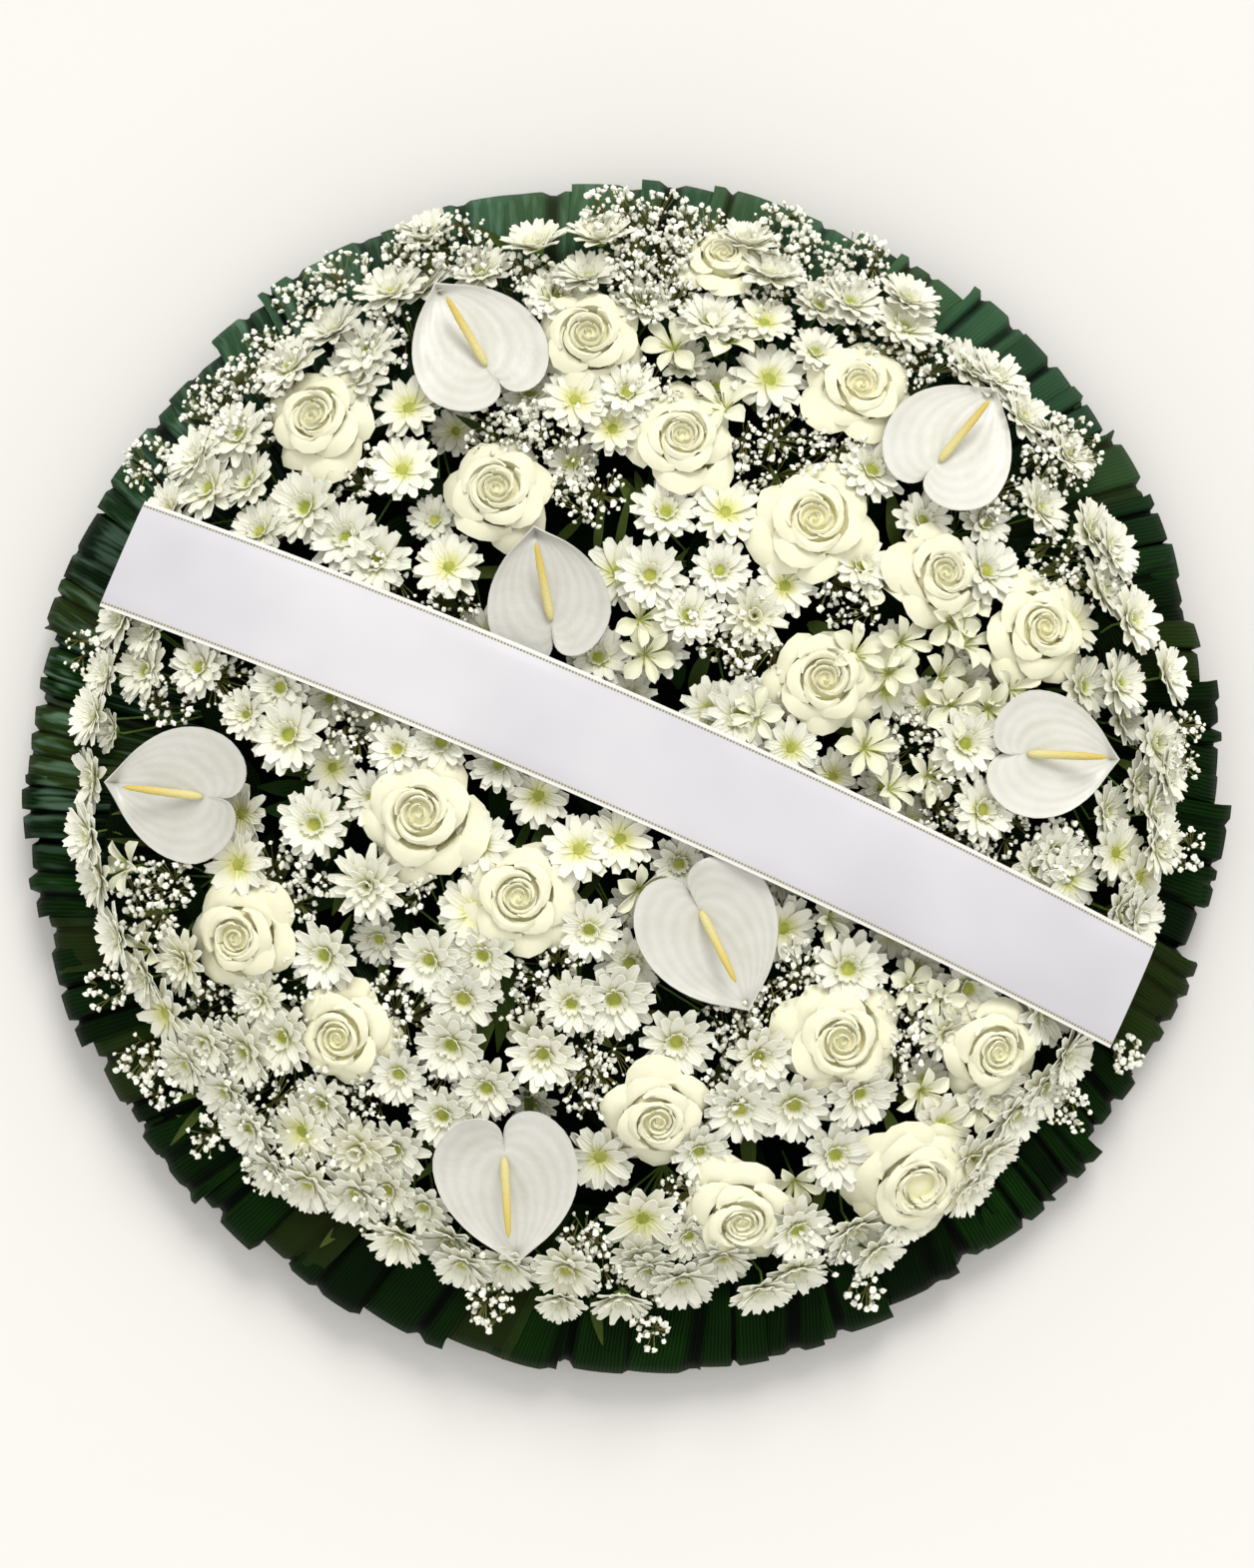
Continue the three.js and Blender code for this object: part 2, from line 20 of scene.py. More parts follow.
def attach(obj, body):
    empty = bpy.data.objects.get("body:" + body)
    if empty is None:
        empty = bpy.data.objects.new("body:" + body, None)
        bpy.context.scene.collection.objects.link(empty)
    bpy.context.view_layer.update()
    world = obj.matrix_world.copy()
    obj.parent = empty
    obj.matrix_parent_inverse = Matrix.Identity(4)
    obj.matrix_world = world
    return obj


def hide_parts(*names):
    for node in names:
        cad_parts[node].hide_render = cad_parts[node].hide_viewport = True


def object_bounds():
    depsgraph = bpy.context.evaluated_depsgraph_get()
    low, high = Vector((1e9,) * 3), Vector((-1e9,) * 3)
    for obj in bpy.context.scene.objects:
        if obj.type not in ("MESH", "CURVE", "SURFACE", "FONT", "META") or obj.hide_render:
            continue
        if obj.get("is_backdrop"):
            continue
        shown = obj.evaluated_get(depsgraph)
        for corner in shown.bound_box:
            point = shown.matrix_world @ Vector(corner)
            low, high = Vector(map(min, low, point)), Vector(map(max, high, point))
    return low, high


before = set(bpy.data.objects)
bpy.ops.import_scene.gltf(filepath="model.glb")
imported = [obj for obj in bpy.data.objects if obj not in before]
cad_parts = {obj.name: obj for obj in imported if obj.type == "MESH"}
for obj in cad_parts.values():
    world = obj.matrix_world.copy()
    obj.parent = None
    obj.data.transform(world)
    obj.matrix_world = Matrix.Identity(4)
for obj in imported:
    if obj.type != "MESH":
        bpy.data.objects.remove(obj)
CAD_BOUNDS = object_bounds()

LOG = logging.getLogger("wreath")
Point = tuple[float, float, float]
Array = np.ndarray
MM = 0.001
UV_NAME = "petal_uv"
TONE_NAME = "tone"
WARMTH_NAME = "warmth"
FOLD_NAME = "fold"
BODY = "root"
TINY = 1e-9
# A direction that no stem runs in, to measure its turn from.
NO_STEM_RUNS = (0.0, 1.0, 0.2)


# ---- Shapes kept as arrays -----------------------------------------------------------
@dataclass
class Form:
    """A modelled shape kept as arrays, so that copies of it can be put together."""

    points: Array
    corners: Array
    sizes: Array
    uvs: Array
    finishes: Array

    @classmethod
    def taken_from(cls, made: bpy.types.Object) -> "Form":
        """Reads a modelled object into arrays and removes it from the scene."""
        mesh = made.data
        points = np.zeros(len(mesh.vertices) * 3)
        mesh.vertices.foreach_get("co", points)
        corners = np.zeros(len(mesh.loops), np.int64)
        mesh.loops.foreach_get("vertex_index", corners)
        sizes = np.zeros(len(mesh.polygons), np.int64)
        mesh.polygons.foreach_get("loop_total", sizes)
        uvs = np.zeros(len(mesh.loops) * 2)
        mesh.uv_layers[UV_NAME].data.foreach_get("uv", uvs)
        bpy.data.objects.remove(made)
        bpy.data.meshes.remove(mesh)
        return cls(
            points.reshape(-1, 3), corners, sizes, uvs.reshape(-1, 2),
            np.zeros(len(sizes), np.int64),
        )

    @classmethod
    def joined(cls, forms: Sequence["Form"]) -> "Form":
        """Puts several shapes, each in its place, into one."""
        starts = np.cumsum([0] + [len(form.points) for form in forms[:-1]])
        return cls(
            np.vstack([form.points for form in forms]),
            np.concatenate([f.corners + start for f, start in zip(forms, starts)]),
            np.concatenate([form.sizes for form in forms]),
            np.vstack([form.uvs for form in forms]),
            np.concatenate([form.finishes for form in forms]),
        )

    def moved(self, matrix: Matrix) -> "Form":
        """Returns a copy moved by a matrix."""
        grid = np.array(matrix)
        points = self.points @ grid[:3, :3].T + grid[:3, 3]
        return Form(points, self.corners, self.sizes, self.uvs, self.finishes)

    def reshaped(self, shape: Callable[[Array], Array]) -> "Form":
        """Returns a copy whose points went through a function."""
        return Form(shape(self.points), self.corners, self.sizes, self.uvs, self.finishes)

    def painted(self, finish: int) -> "Form":
        """Returns a copy in another finish of the piece."""
        finishes = np.full(len(self.sizes), finish, np.int64)
        return Form(self.points, self.corners, self.sizes, self.uvs, finishes)


@dataclass
class Piece:
    """One object of the dressed wreath, filled with placed copies of shapes."""

    name: str
    slot: str
    materials: Sequence[bpy.types.Material]
    forms: list[Form] = field(default_factory=list)
    tones: list[Array] = field(default_factory=list)
    warmths: list[Array] = field(default_factory=list)
    folds: list[Array] = field(default_factory=list)
    sharp_angle: float = 62.0

    def add(
        self, form: Form, tone: float = 0.5, warmth: float = 0.0,
        fold: Array | None = None,
    ) -> None:
        """Adds a placed copy of a shape.

        Args:
            form: The shape, in its place.
            tone: Its own shade, from 0 to 1.
            warmth: How far it tends to the finish's second colour, from 0 to 1.
            fold: For each point, 0 deep in a fold to 1 on a ridge; the leaf finish paints shade in
                the folds by it.
        """
        self.forms.append(form)
        self.tones.append(np.full(len(form.points), tone))
        self.warmths.append(np.full(len(form.points), warmth))
        self.folds.append(np.ones(len(form.points)) if fold is None else fold)

    def add_stem(
        self, tube: Form, knots: Sequence, radius: float, finish: int = 1, tone: float = 0.5
    ) -> None:
        """Adds a stem along a curve."""
        self.add(bent_tube(tube, knots, radius).painted(finish), tone)

    def build(self, *nodes: str) -> bpy.types.Object:
        """Makes the object, lets it ride on the wreath and stand for CAD nodes.

        Args:
            nodes: Names of the CAD nodes that it replaces.

        Returns:
            The finished object.
        """
        whole = Form.joined(self.forms)
        mesh = bpy.data.meshes.new(self.name)
        mesh.vertices.add(len(whole.points))
        mesh.vertices.foreach_set("co", whole.points.ravel())
        mesh.loops.add(len(whole.corners))
        mesh.loops.foreach_set("vertex_index", whole.corners)
        mesh.polygons.add(len(whole.sizes))
        starts = np.concatenate([[0], np.cumsum(whole.sizes)[:-1]])
        mesh.polygons.foreach_set("loop_start", starts)
        mesh.polygons.foreach_set("loop_total", whole.sizes)
        mesh.polygons.foreach_set("use_smooth", np.ones(len(whole.sizes), bool))
        mesh.polygons.foreach_set("material_index", whole.finishes)
        mesh.update(calc_edges=True)
        layer = mesh.uv_layers.new(name=UV_NAME)
        layer.data.foreach_set("uv", whole.uvs.ravel())
        attributes = {TONE_NAME: self.tones, WARMTH_NAME: self.warmths, FOLD_NAME: self.folds}
        for name, values in attributes.items():
            attribute = mesh.attributes.new(name, "FLOAT", "POINT")
            attribute.data.foreach_set("value", np.concatenate(values))
        mesh.validate()
        mesh.set_sharp_from_angle(angle=radians(self.sharp_angle))
        for material in self.materials:
            mesh.materials.append(material)
        made = bpy.data.objects.new(self.name, mesh)
        bpy.context.scene.collection.objects.link(made)
        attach(made, BODY)
        if nodes:
            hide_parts(*nodes)
        triangles = int((whole.sizes - 2).sum())
        LOG.info("%s: %d triangles", self.name, triangles)
        return made


class Bench:
    """Where shapes are modelled with Blender's own operators."""

    @staticmethod
    def clear() -> None:
        """Deselects everything, so that an operator acts on the new shape alone."""
        bpy.ops.object.select_all(action="DESELECT")

    @classmethod
    def grid(cls, across: int, along: int) -> bpy.types.Object:
        """Adds a flat grid from -1 to 1 both ways, with a UV map named UV_NAME."""
        cls.clear()
        bpy.ops.mesh.primitive_grid_add(x_subdivisions=across, y_subdivisions=along, size=2)
        made = bpy.context.object
        made.data.uv_layers[0].name = UV_NAME
        return made

    @staticmethod
    def thicken(made: bpy.types.Object, thickness: float) -> None:
        """Gives a sheet its wall with a Solidify modifier."""
        wall = made.modifiers.new("wall", "SOLIDIFY")
        wall.thickness = thickness
        bpy.context.view_layer.objects.active = made
        bpy.ops.object.modifier_apply(modifier=wall.name)

    @classmethod
    def sheet(
        cls, across: int, along: int, shape: Callable[[float, float], Point], thickness: float
    ) -> Form:
        """Models a thin closed petal or leaf from a grid.

        Args:
            across: Faces across it.
            along: Faces along it.
            shape: Gives the place of a point from (-1 to 1 across, 0 to 1 along).
            thickness: Wall, in the shape's own unit.

        Returns:
            The petal, its UV map running across in U and along in V.
        """
        made = cls.grid(across, along)
        mesh = made.data
        for vertex in mesh.vertices:
            vertex.co = shape(vertex.co.x, (vertex.co.y + 1) / 2)
        mesh.update()
        cls.thicken(made, thickness)
        return Form.taken_from(made)

    @classmethod
    def tube(cls, sides: int, rings: int) -> Form:
        """Models an upright closed tube of radius 1 and height 1 in equal rings."""
        cls.clear()
        bpy.ops.mesh.primitive_circle_add(vertices=sides, radius=1, fill_type="NGON")
        made = bpy.context.object
        bpy.ops.object.mode_set(mode="EDIT")
        bpy.ops.mesh.select_all(action="SELECT")
        bpy.ops.mesh.flip_normals()
        for _ in range(rings):
            bpy.ops.mesh.extrude_region_move(
                TRANSFORM_OT_translate={"value": (0, 0, 1 / rings)}
            )
        bpy.ops.mesh.select_all(action="SELECT")
        bpy.ops.mesh.normals_make_consistent(inside=False)
        bpy.ops.object.mode_set(mode="OBJECT")
        layer = made.data.uv_layers.new(name=UV_NAME)
        for loop in made.data.loops:
            point = made.data.vertices[loop.vertex_index].co
            turn = atan2(point.y, point.x) / tau
            layer.data[loop.index].uv = (turn, point.z)
        return Form.taken_from(made)

    @classmethod
    def ball(cls, segments: int, rings: int, shape: Callable[[Vector, int], Vector]) -> Form:
        """Models a closed ball of radius 1 whose points go through a function.

        Args:
            segments: Faces round it.
            rings: Faces from pole to pole.
            shape: Gives a point's place from its place on the ball and its number.

        Returns:
            The shape, its UV map's V running from the lower pole to the upper one.
        """
        cls.clear()
        bpy.ops.mesh.primitive_uv_sphere_add(segments=segments, ring_count=rings, radius=1)
        made = bpy.context.object
        mesh = made.data
        mesh.uv_layers[0].name = UV_NAME
        for vertex in mesh.vertices:
            vertex.co = shape(vertex.co.copy(), vertex.index)
        mesh.update()
        return Form.taken_from(made)


def smoothstep(value: float, low: float, high: float) -> float:
    """Returns 0 below low, 1 above high, and a smooth rise between them."""
    share = min(max((value - low) / (high - low), 0.0), 1.0)
    return share * share * (3 - 2 * share)


def spline(points: Sequence[Sequence[float]], share: float) -> Array:
    """Returns a point on the smooth curve through points, share from 0 to 1."""
    spans = len(points) - 1
    place = min(max(share, 0.0), 1.0) * spans
    start = min(int(place), spans - 1)
    t = place - start
    a, b, c, d = (
        np.array(points[min(max(start + step, 0), spans)], float) for step in (-1, 0, 1, 2)
    )
    return 0.5 * (
        2 * b + (c - a) * t + (2 * a - 5 * b + 4 * c - d) * t**2
        + (3 * b - a - 3 * c + d) * t**3
    )


def direction(points: Sequence[Sequence[float]], share: float, step: float = 0.01) -> Array:
    """Returns the unit direction of the smooth curve through points."""
    ahead = spline(points, share + step) - spline(points, share - step)
    return ahead / max(np.linalg.norm(ahead), TINY)


def scattered(chance: Random, reach: float) -> tuple[float, float]:
    """Returns a place within a distance of the middle, each as likely as the next."""
    turn = chance.uniform(0, tau)
    out = reach * sqrt(chance.uniform(0, 1))
    return out * cos(turn), out * sin(turn)


def either_way(chance: Random, spread: float) -> float:
    """Returns a chance value from -spread to spread."""
    return chance.uniform(-spread, spread)


def bent_tube(tube: Form, knots: Sequence[Sequence[float]], radius: float) -> Form:
    """Bends an upright tube along a curve.

    Args:
        tube: Tube from Bench.tube.
        knots: Points that the middle of the stem goes through.
        radius: Its radius.

    Returns:
        The stem in its place.
    """
    points = np.array(knots, float)

    def shape(old: Array) -> Array:
        new = np.empty_like(old)
        for share in np.unique(old[:, 2]):
            ring = old[:, 2] == share
            ahead = direction(points, share)
            side = np.cross(ahead, NO_STEM_RUNS)
            side /= max(np.linalg.norm(side), TINY)
            other = np.cross(ahead, side)
            turned = old[ring, :1] * side + old[ring, 1:2] * other
            new[ring] = spline(points, share) + radius * turned
        return new

    return tube.reshaped(shape)


# ---- The dome that the flowers follow ------------------------------------------------
@dataclass(frozen=True)
class Dome:
    """Heights and directions on the wreath, as in the CAD model."""

    reach: float = 0.400
    crown: float = 0.128
    rim: float = 0.066
    power: float = 2.4
    foam_radius: float = 0.312
    foam_crown: float = 0.088
    foam_side: float = 0.040
    centre_lean: float = 28.0
    rim_lean: float = 18.0
    lean_distance: float = 0.300
    rim_ends: float = 0.378

    def height(self, x: float, y: float) -> float:
        """Returns the height of the flowers' faces over the floor."""
        share = (np.hypot(x, y) / self.reach) ** self.power
        return self.crown - (self.crown - self.rim) * share

    def foam_top(self, x: float, y: float) -> float:
        """Returns the height of the foam's surface."""
        share = (min(hypot(x, y), self.foam_radius) / self.foam_radius) ** self.power
        return self.foam_crown - (self.foam_crown - self.foam_side) * share

    def foot(self, x: float, y: float, depth: float, inward: float = 0.07) -> Array:
        """Returns a stem's end in the foam, nearer the axis than its flower by a share."""
        return np.array(((1 - inward) * x, (1 - inward) * y, self.foam_top(x, y) - depth))

    def lean(self, x: float, y: float) -> float:
        """Returns the outward lean of a flower in radians."""
        distance = hypot(x, y)
        rim = smoothstep(distance, self.lean_distance, self.rim_ends)
        return radians(self.centre_lean * distance / self.lean_distance + self.rim_lean * rim)

    def stand(self, x: float, y: float, rise: float, lean: float, heading: float) -> Matrix:
        """Stands a flower on the dome.

        Args:
            x: Its place.
            y: Its place.
            rise: Height over the dome.
            lean: Outward lean in radians.
            heading: Direction of its own +X in radians.

        Returns:
            The matrix that turns and moves it there.
        """
        outward = atan2(y, x)
        return (
            Matrix.Translation((x, y, self.height(x, y) + rise))
            @ Matrix.Rotation(outward, 4, "Z")
            @ Matrix.Rotation(lean, 4, "Y")
            @ Matrix.Rotation(heading - outward, 4, "Z")
        )


DOME = Dome()


# ---- Finishes ------------------------------------------------------------------------
Colour = tuple[float, float, float, float]
Socket = bpy.types.NodeSocket


def shade(red: float, green: float, blue: float) -> Colour:
    """Returns a linear colour from its display values, 0 to 255."""
    return (*(((part / 255 + 0.055) / 1.055) ** 2.4 for part in (red, green, blue)), 1.0)


class Canvas:
    """Adds and links the nodes of one tree."""

    # Places of a Mix node's share and colours, and of its colour result.
    MIX_INPUTS = (0, 6, 7)
    MIX_RESULT = 2

    def __init__(self, tree: bpy.types.NodeTree) -> None:
        """Starts on a tree."""
        self.tree = tree

    def feed(self, socket: Socket, value: object) -> None:
        """Links an output to an input, or sets the input to a plain value."""
        if isinstance(value, Socket):
            self.tree.links.new(value, socket)
        else:
            socket.default_value = value

    def add(self, kind: str, inputs: dict | None = None, **settings: object) -> bpy.types.Node:
        """Adds a node.

        Args:
            kind: The node's type name.
            inputs: For each input's name or number, its value or the output linked to it.
            settings: The node's own properties.

        Returns:
            The node.
        """
        node = self.tree.nodes.new(kind)
        for name, value in settings.items():
            setattr(node, name, value)
        for name, value in (inputs or {}).items():
            self.feed(node.inputs[name], value)
        return node

    def math(self, operation: str, *values: object) -> Socket:
        """Adds a Math node on values or outputs and returns its output."""
        return self.add("ShaderNodeMath", dict(enumerate(values)), operation=operation).outputs[0]

    def times(self, first: object, second: object) -> Socket:
        """Returns the product of two values."""
        return self.math("MULTIPLY", first, second)

    def scaled(self, value: object, scale: object, start: object) -> Socket:
        """Returns start plus scale times a value."""
        return self.math("MULTIPLY_ADD", value, scale, start)

    def mix(self, share: object, first: object, second: object) -> Socket:
        """Mixes two colours and returns the result."""
        node = self.add("ShaderNodeMix", data_type="RGBA")
        for place, value in zip(self.MIX_INPUTS, (share, first, second)):
            self.feed(node.inputs[place], value)
        return node.outputs[self.MIX_RESULT]

    def steps(self, value: object, low: float, high: float) -> Socket:
        """Maps a value from low..high smoothly to 0..1."""
        inputs = {"Value": value, "From Min": low, "From Max": high}
        node = self.add("ShaderNodeMapRange", inputs, interpolation_type="SMOOTHSTEP")
        return node.outputs["Result"]

    def dimmed(self, colour: Socket, share: Socket) -> Socket:
        """Returns a colour times a value."""
        inputs = {0: colour, "Scale": share}
        return self.add("ShaderNodeVectorMath", inputs, operation="SCALE").outputs[0]

    def position(self) -> Socket:
        """Returns the place in Object coordinates."""
        return self.add("ShaderNodeTexCoord").outputs["Object"]

    def noise(self, place: Socket, scale: object, detail: float) -> Socket:
        """Returns noise over a place."""
        inputs = {"Vector": place, "Scale": scale, "Detail": detail}
        return self.add("ShaderNodeTexNoise", inputs).outputs[0]

    def surface(self) -> tuple[Socket, Socket]:
        """Returns the place across and along from the piece's own UV map."""
        uv = self.add("ShaderNodeUVMap", uv_map=UV_NAME).outputs[0]
        across, along, _ = self.add("ShaderNodeSeparateXYZ", {0: uv}).outputs
        return across, along

    def attribute(self, name: str) -> Socket:
        """Returns an attribute of the piece as a value."""
        return self.add("ShaderNodeAttribute", attribute_name=name).outputs["Fac"]

    def effect(self, group: bpy.types.NodeTree, **inputs: object) -> Socket:
        """Places a shared effect with its own values and returns its result."""
        return self.add("ShaderNodeGroup", inputs, node_tree=group).outputs[0]


class Effects:
    """Shader node groups that several finishes share."""

    def __init__(self) -> None:
        """Builds each group once."""
        self.ribs = self._ribs()
        self.mottling = self._mottling()

    @staticmethod
    def _start(name: str, inputs: dict[str, float], output: str) -> tuple:
        """Starts a group and returns its canvas, its inputs by name and its output."""
        tree = bpy.data.node_groups.new(name, "ShaderNodeTree")
        for label, value in inputs.items():
            socket = tree.interface.new_socket(label, in_out="INPUT", socket_type="NodeSocketFloat")
            socket.default_value = value
        tree.interface.new_socket(output, in_out="OUTPUT", socket_type="NodeSocketFloat")
        canvas = Canvas(tree)
        given, out = canvas.add("NodeGroupInput"), canvas.add("NodeGroupOutput")
        return canvas, given.outputs, out.inputs[output]

    @classmethod
    def _ribs(cls, cloud_scale: float = 90.0) -> bpy.types.NodeTree:
        """Builds lengthwise ribs across a petal or leaf, uneven from place to place."""
        canvas, given, out = cls._start(
            "lengthwise_ribs", {"Across": 0.0, "Count": 3.0, "Unevenness": 0.4}, "Height"
        )
        cloud = canvas.noise(canvas.position(), cloud_scale, 2.0)
        shift = canvas.times(cloud, given["Unevenness"])
        turns = canvas.math("ADD", canvas.times(given["Across"], given["Count"]), shift)
        wave = canvas.math("SINE", canvas.times(turns, tau))
        canvas.feed(out, canvas.scaled(wave, 0.5, 0.5))
        return canvas.tree

    @classmethod
    def _mottling(cls) -> bpy.types.NodeTree:
        """Builds soft cloudy variation in Object coordinates."""
        canvas, given, out = cls._start(
            "cloudy_mottling", {"Scale": 60.0, "Low": 0.35, "High": 0.65}, "Value"
        )
        cloud = canvas.noise(canvas.position(), given["Scale"], 3.0)
        inputs = {"Value": cloud, "From Min": given["Low"], "From Max": given["High"]}
        canvas.feed(out, canvas.add("ShaderNodeMapRange", inputs).outputs["Result"])
        return canvas.tree


EFFECTS = Effects()


@dataclass(frozen=True)
class Finish:
    """What every finish shares: a name, a gloss, a roughness and a relief."""

    name: str
    roughness: float = 0.6
    specular: float = 0.3
    patchiness: float = 0.1
    relief_strength: float = 0.55

    def make(self) -> bpy.types.Material:
        """Builds the material, its colour, roughness and relief from nodes."""
        material = bpy.data.materials.new(self.name)
        material.use_nodes = True
        material.node_tree.nodes.clear()
        canvas = Canvas(material.node_tree)
        shader = canvas.add("ShaderNodeBsdfPrincipled", {"Specular IOR Level": self.specular})
        canvas.add("ShaderNodeOutputMaterial", {0: shader.outputs[0]})
        self.paint(canvas, shader)
        return material

    def paint(self, canvas: Canvas, shader: bpy.types.Node) -> None:
        """Links the finish's nodes to the shader: each finish has its own."""
        raise NotImplementedError

    def rough(self, canvas: Canvas, patches: Socket) -> Socket:
        """Returns the roughness, uneven by a pattern of patches from 0 to 1."""
        least = self.roughness - self.patchiness / 2
        return canvas.scaled(patches, self.patchiness, least)

    def coat(
        self, canvas: Canvas, shader: bpy.types.Node, colour: Socket, rough: Socket,
        height: Socket, depth: float,
    ) -> None:
        """Links a colour, a roughness and a relief to the shader.

        Args:
            canvas: The material's canvas.
            shader: The shader.
            colour: Colour of the surface.
            rough: Its roughness.
            height: Height of its relief from 0 to 1.
            depth: The height of 1 in metres.
        """
        inputs = {"Height": height, "Distance": depth, "Strength": self.relief_strength}
        normal = canvas.add("ShaderNodeBump", inputs).outputs[0]
        links = {"Base Color": colour, "Roughness": rough, "Normal": normal}
        for name, value in links.items():
            canvas.feed(shader.inputs[name], value)


@dataclass(frozen=True)
class PetalFinish(Finish):
    """Ribbed petal: one colour at its foot, another at its tip, a third where warm."""

    tip: Colour = shade(240, 240, 236)
    foot: Colour = shade(222, 224, 190)
    warm: Colour = shade(232, 228, 170)
    foot_starts: float = 0.05
    foot_ends: float = 0.45
    warm_starts: float = 0.2
    warm_most: float = 1.15
    darkest: float = 0.9
    cloud_scale: float = 85.0
    cloud_reach: float = 0.12
    cloud_shade: float = 0.05
    least_cloud: float = 0.96
    ribs: float = 3.0
    unevenness: float = 0.5
    relief_depth: float = 0.0004
    sheen: float = 0.0
    patchiness: float = 0.12

    def paint(self, canvas: Canvas, shader: bpy.types.Node) -> None:
        """Tints the petal along its length and ribs it."""
        across, along = canvas.surface()
        cloud = canvas.effect(EFFECTS.mottling, Scale=self.cloud_scale)
        reach = canvas.math("ADD", along, canvas.times(cloud, self.cloud_reach))
        foot_share = canvas.steps(reach, self.foot_starts, self.foot_ends)
        colour = canvas.mix(foot_share, self.foot, self.tip)
        fading = canvas.steps(reach, self.warm_starts, 1.0)
        warm_share = canvas.math("SUBTRACT", self.warm_most, fading)
        warm_share = canvas.times(canvas.attribute(WARMTH_NAME), warm_share)
        colour = canvas.mix(warm_share, colour, self.warm)
        tone = canvas.attribute(TONE_NAME)
        low = canvas.scaled(tone, 1 - self.darkest, self.darkest)
        clouded = canvas.scaled(cloud, self.cloud_shade, self.least_cloud)
        colour = canvas.dimmed(colour, canvas.times(low, clouded))
        ribs = canvas.effect(
            EFFECTS.ribs, Across=across, Count=self.ribs, Unevenness=self.unevenness
        )
        shader.inputs["Sheen Weight"].default_value = self.sheen
        self.coat(canvas, shader, colour, self.rough(canvas, cloud), ribs, self.relief_depth)


@dataclass(frozen=True)
class SpatheFinish(Finish):
    """Waxy anthurium spathe: smooth, with a puckered surface between its veins."""

    white: Colour = shade(216, 215, 208)
    shadowed: Colour = shade(197, 197, 182)
    roughness: float = 0.38
    specular: float = 0.45
    patchiness: float = 0.12
    relief_strength: float = 0.5
    cloud_scale: float = 45.0
    cloud_share: float = 0.45
    vein_count: float = 12.0
    vein_share: float = 0.18
    foot_share: float = 0.2
    darkest: float = 0.72
    pucker_scale: float = 130.0
    pucker_depth: float = 0.0012

    def paint(self, canvas: Canvas, shader: bpy.types.Node) -> None:
        """Paints shade along the veins' sides and towards the foot, uneven in soft clouds, and
        puckers the surface.
        """
        across, along = canvas.surface()
        cloud = canvas.effect(EFFECTS.mottling, Scale=self.cloud_scale)
        veins = canvas.math("ABSOLUTE", canvas.math("SUBTRACT", across, 0.5))
        veins = canvas.math("SINE", canvas.times(veins, tau * self.vein_count))
        share = canvas.times(cloud, self.cloud_share)
        share = canvas.scaled(veins, self.vein_share, share)
        foot = canvas.times(canvas.steps(along, 1.0, 0.0), self.foot_share)
        # Painted shade between the veins, towards the foot and in soft clouds.
        colour = canvas.mix(canvas.math("ADD", share, foot), self.white, self.shadowed)
        # The tone dims the spathe, partly as painted shade.
        tone = canvas.attribute(TONE_NAME)
        low = canvas.scaled(tone, 1 - self.darkest, self.darkest)
        colour = canvas.dimmed(colour, low)
        puckers = canvas.noise(canvas.position(), self.pucker_scale, 2.0)
        self.coat(canvas, shader, colour, self.rough(canvas, cloud), puckers, self.pucker_depth)


@dataclass(frozen=True)
class SpadixFinish(Finish):
    """Pebbled spadix: cream at its foot and yellow at its tip."""

    foot: Colour = shade(206, 196, 134)
    tip: Colour = shade(198, 172, 70)
    floret: Colour = shade(250, 236, 170)
    roughness: float = 0.5
    relief_strength: float = 0.6
    tip_starts: float = 0.1
    floret_scale: float = 900.0
    floret_share: float = 0.2
    floret_depth: float = 0.0006

    def paint(self, canvas: Canvas, shader: bpy.types.Node) -> None:
        """Runs the colour along it and raises its tiny florets."""
        _, along = canvas.surface()
        inputs = {"Vector": canvas.position(), "Scale": self.floret_scale}
        cells = canvas.add("ShaderNodeTexVoronoi", inputs).outputs["Distance"]
        dots = canvas.math("SUBTRACT", 1.0, cells)
        colour = canvas.mix(canvas.steps(along, self.tip_starts, 1.0), self.foot, self.tip)
        dot_share = canvas.times(dots, self.floret_share)
        colour = canvas.mix(dot_share, colour, self.floret)
        self.coat(canvas, shader, colour, self.rough(canvas, dots), dots, self.floret_depth)


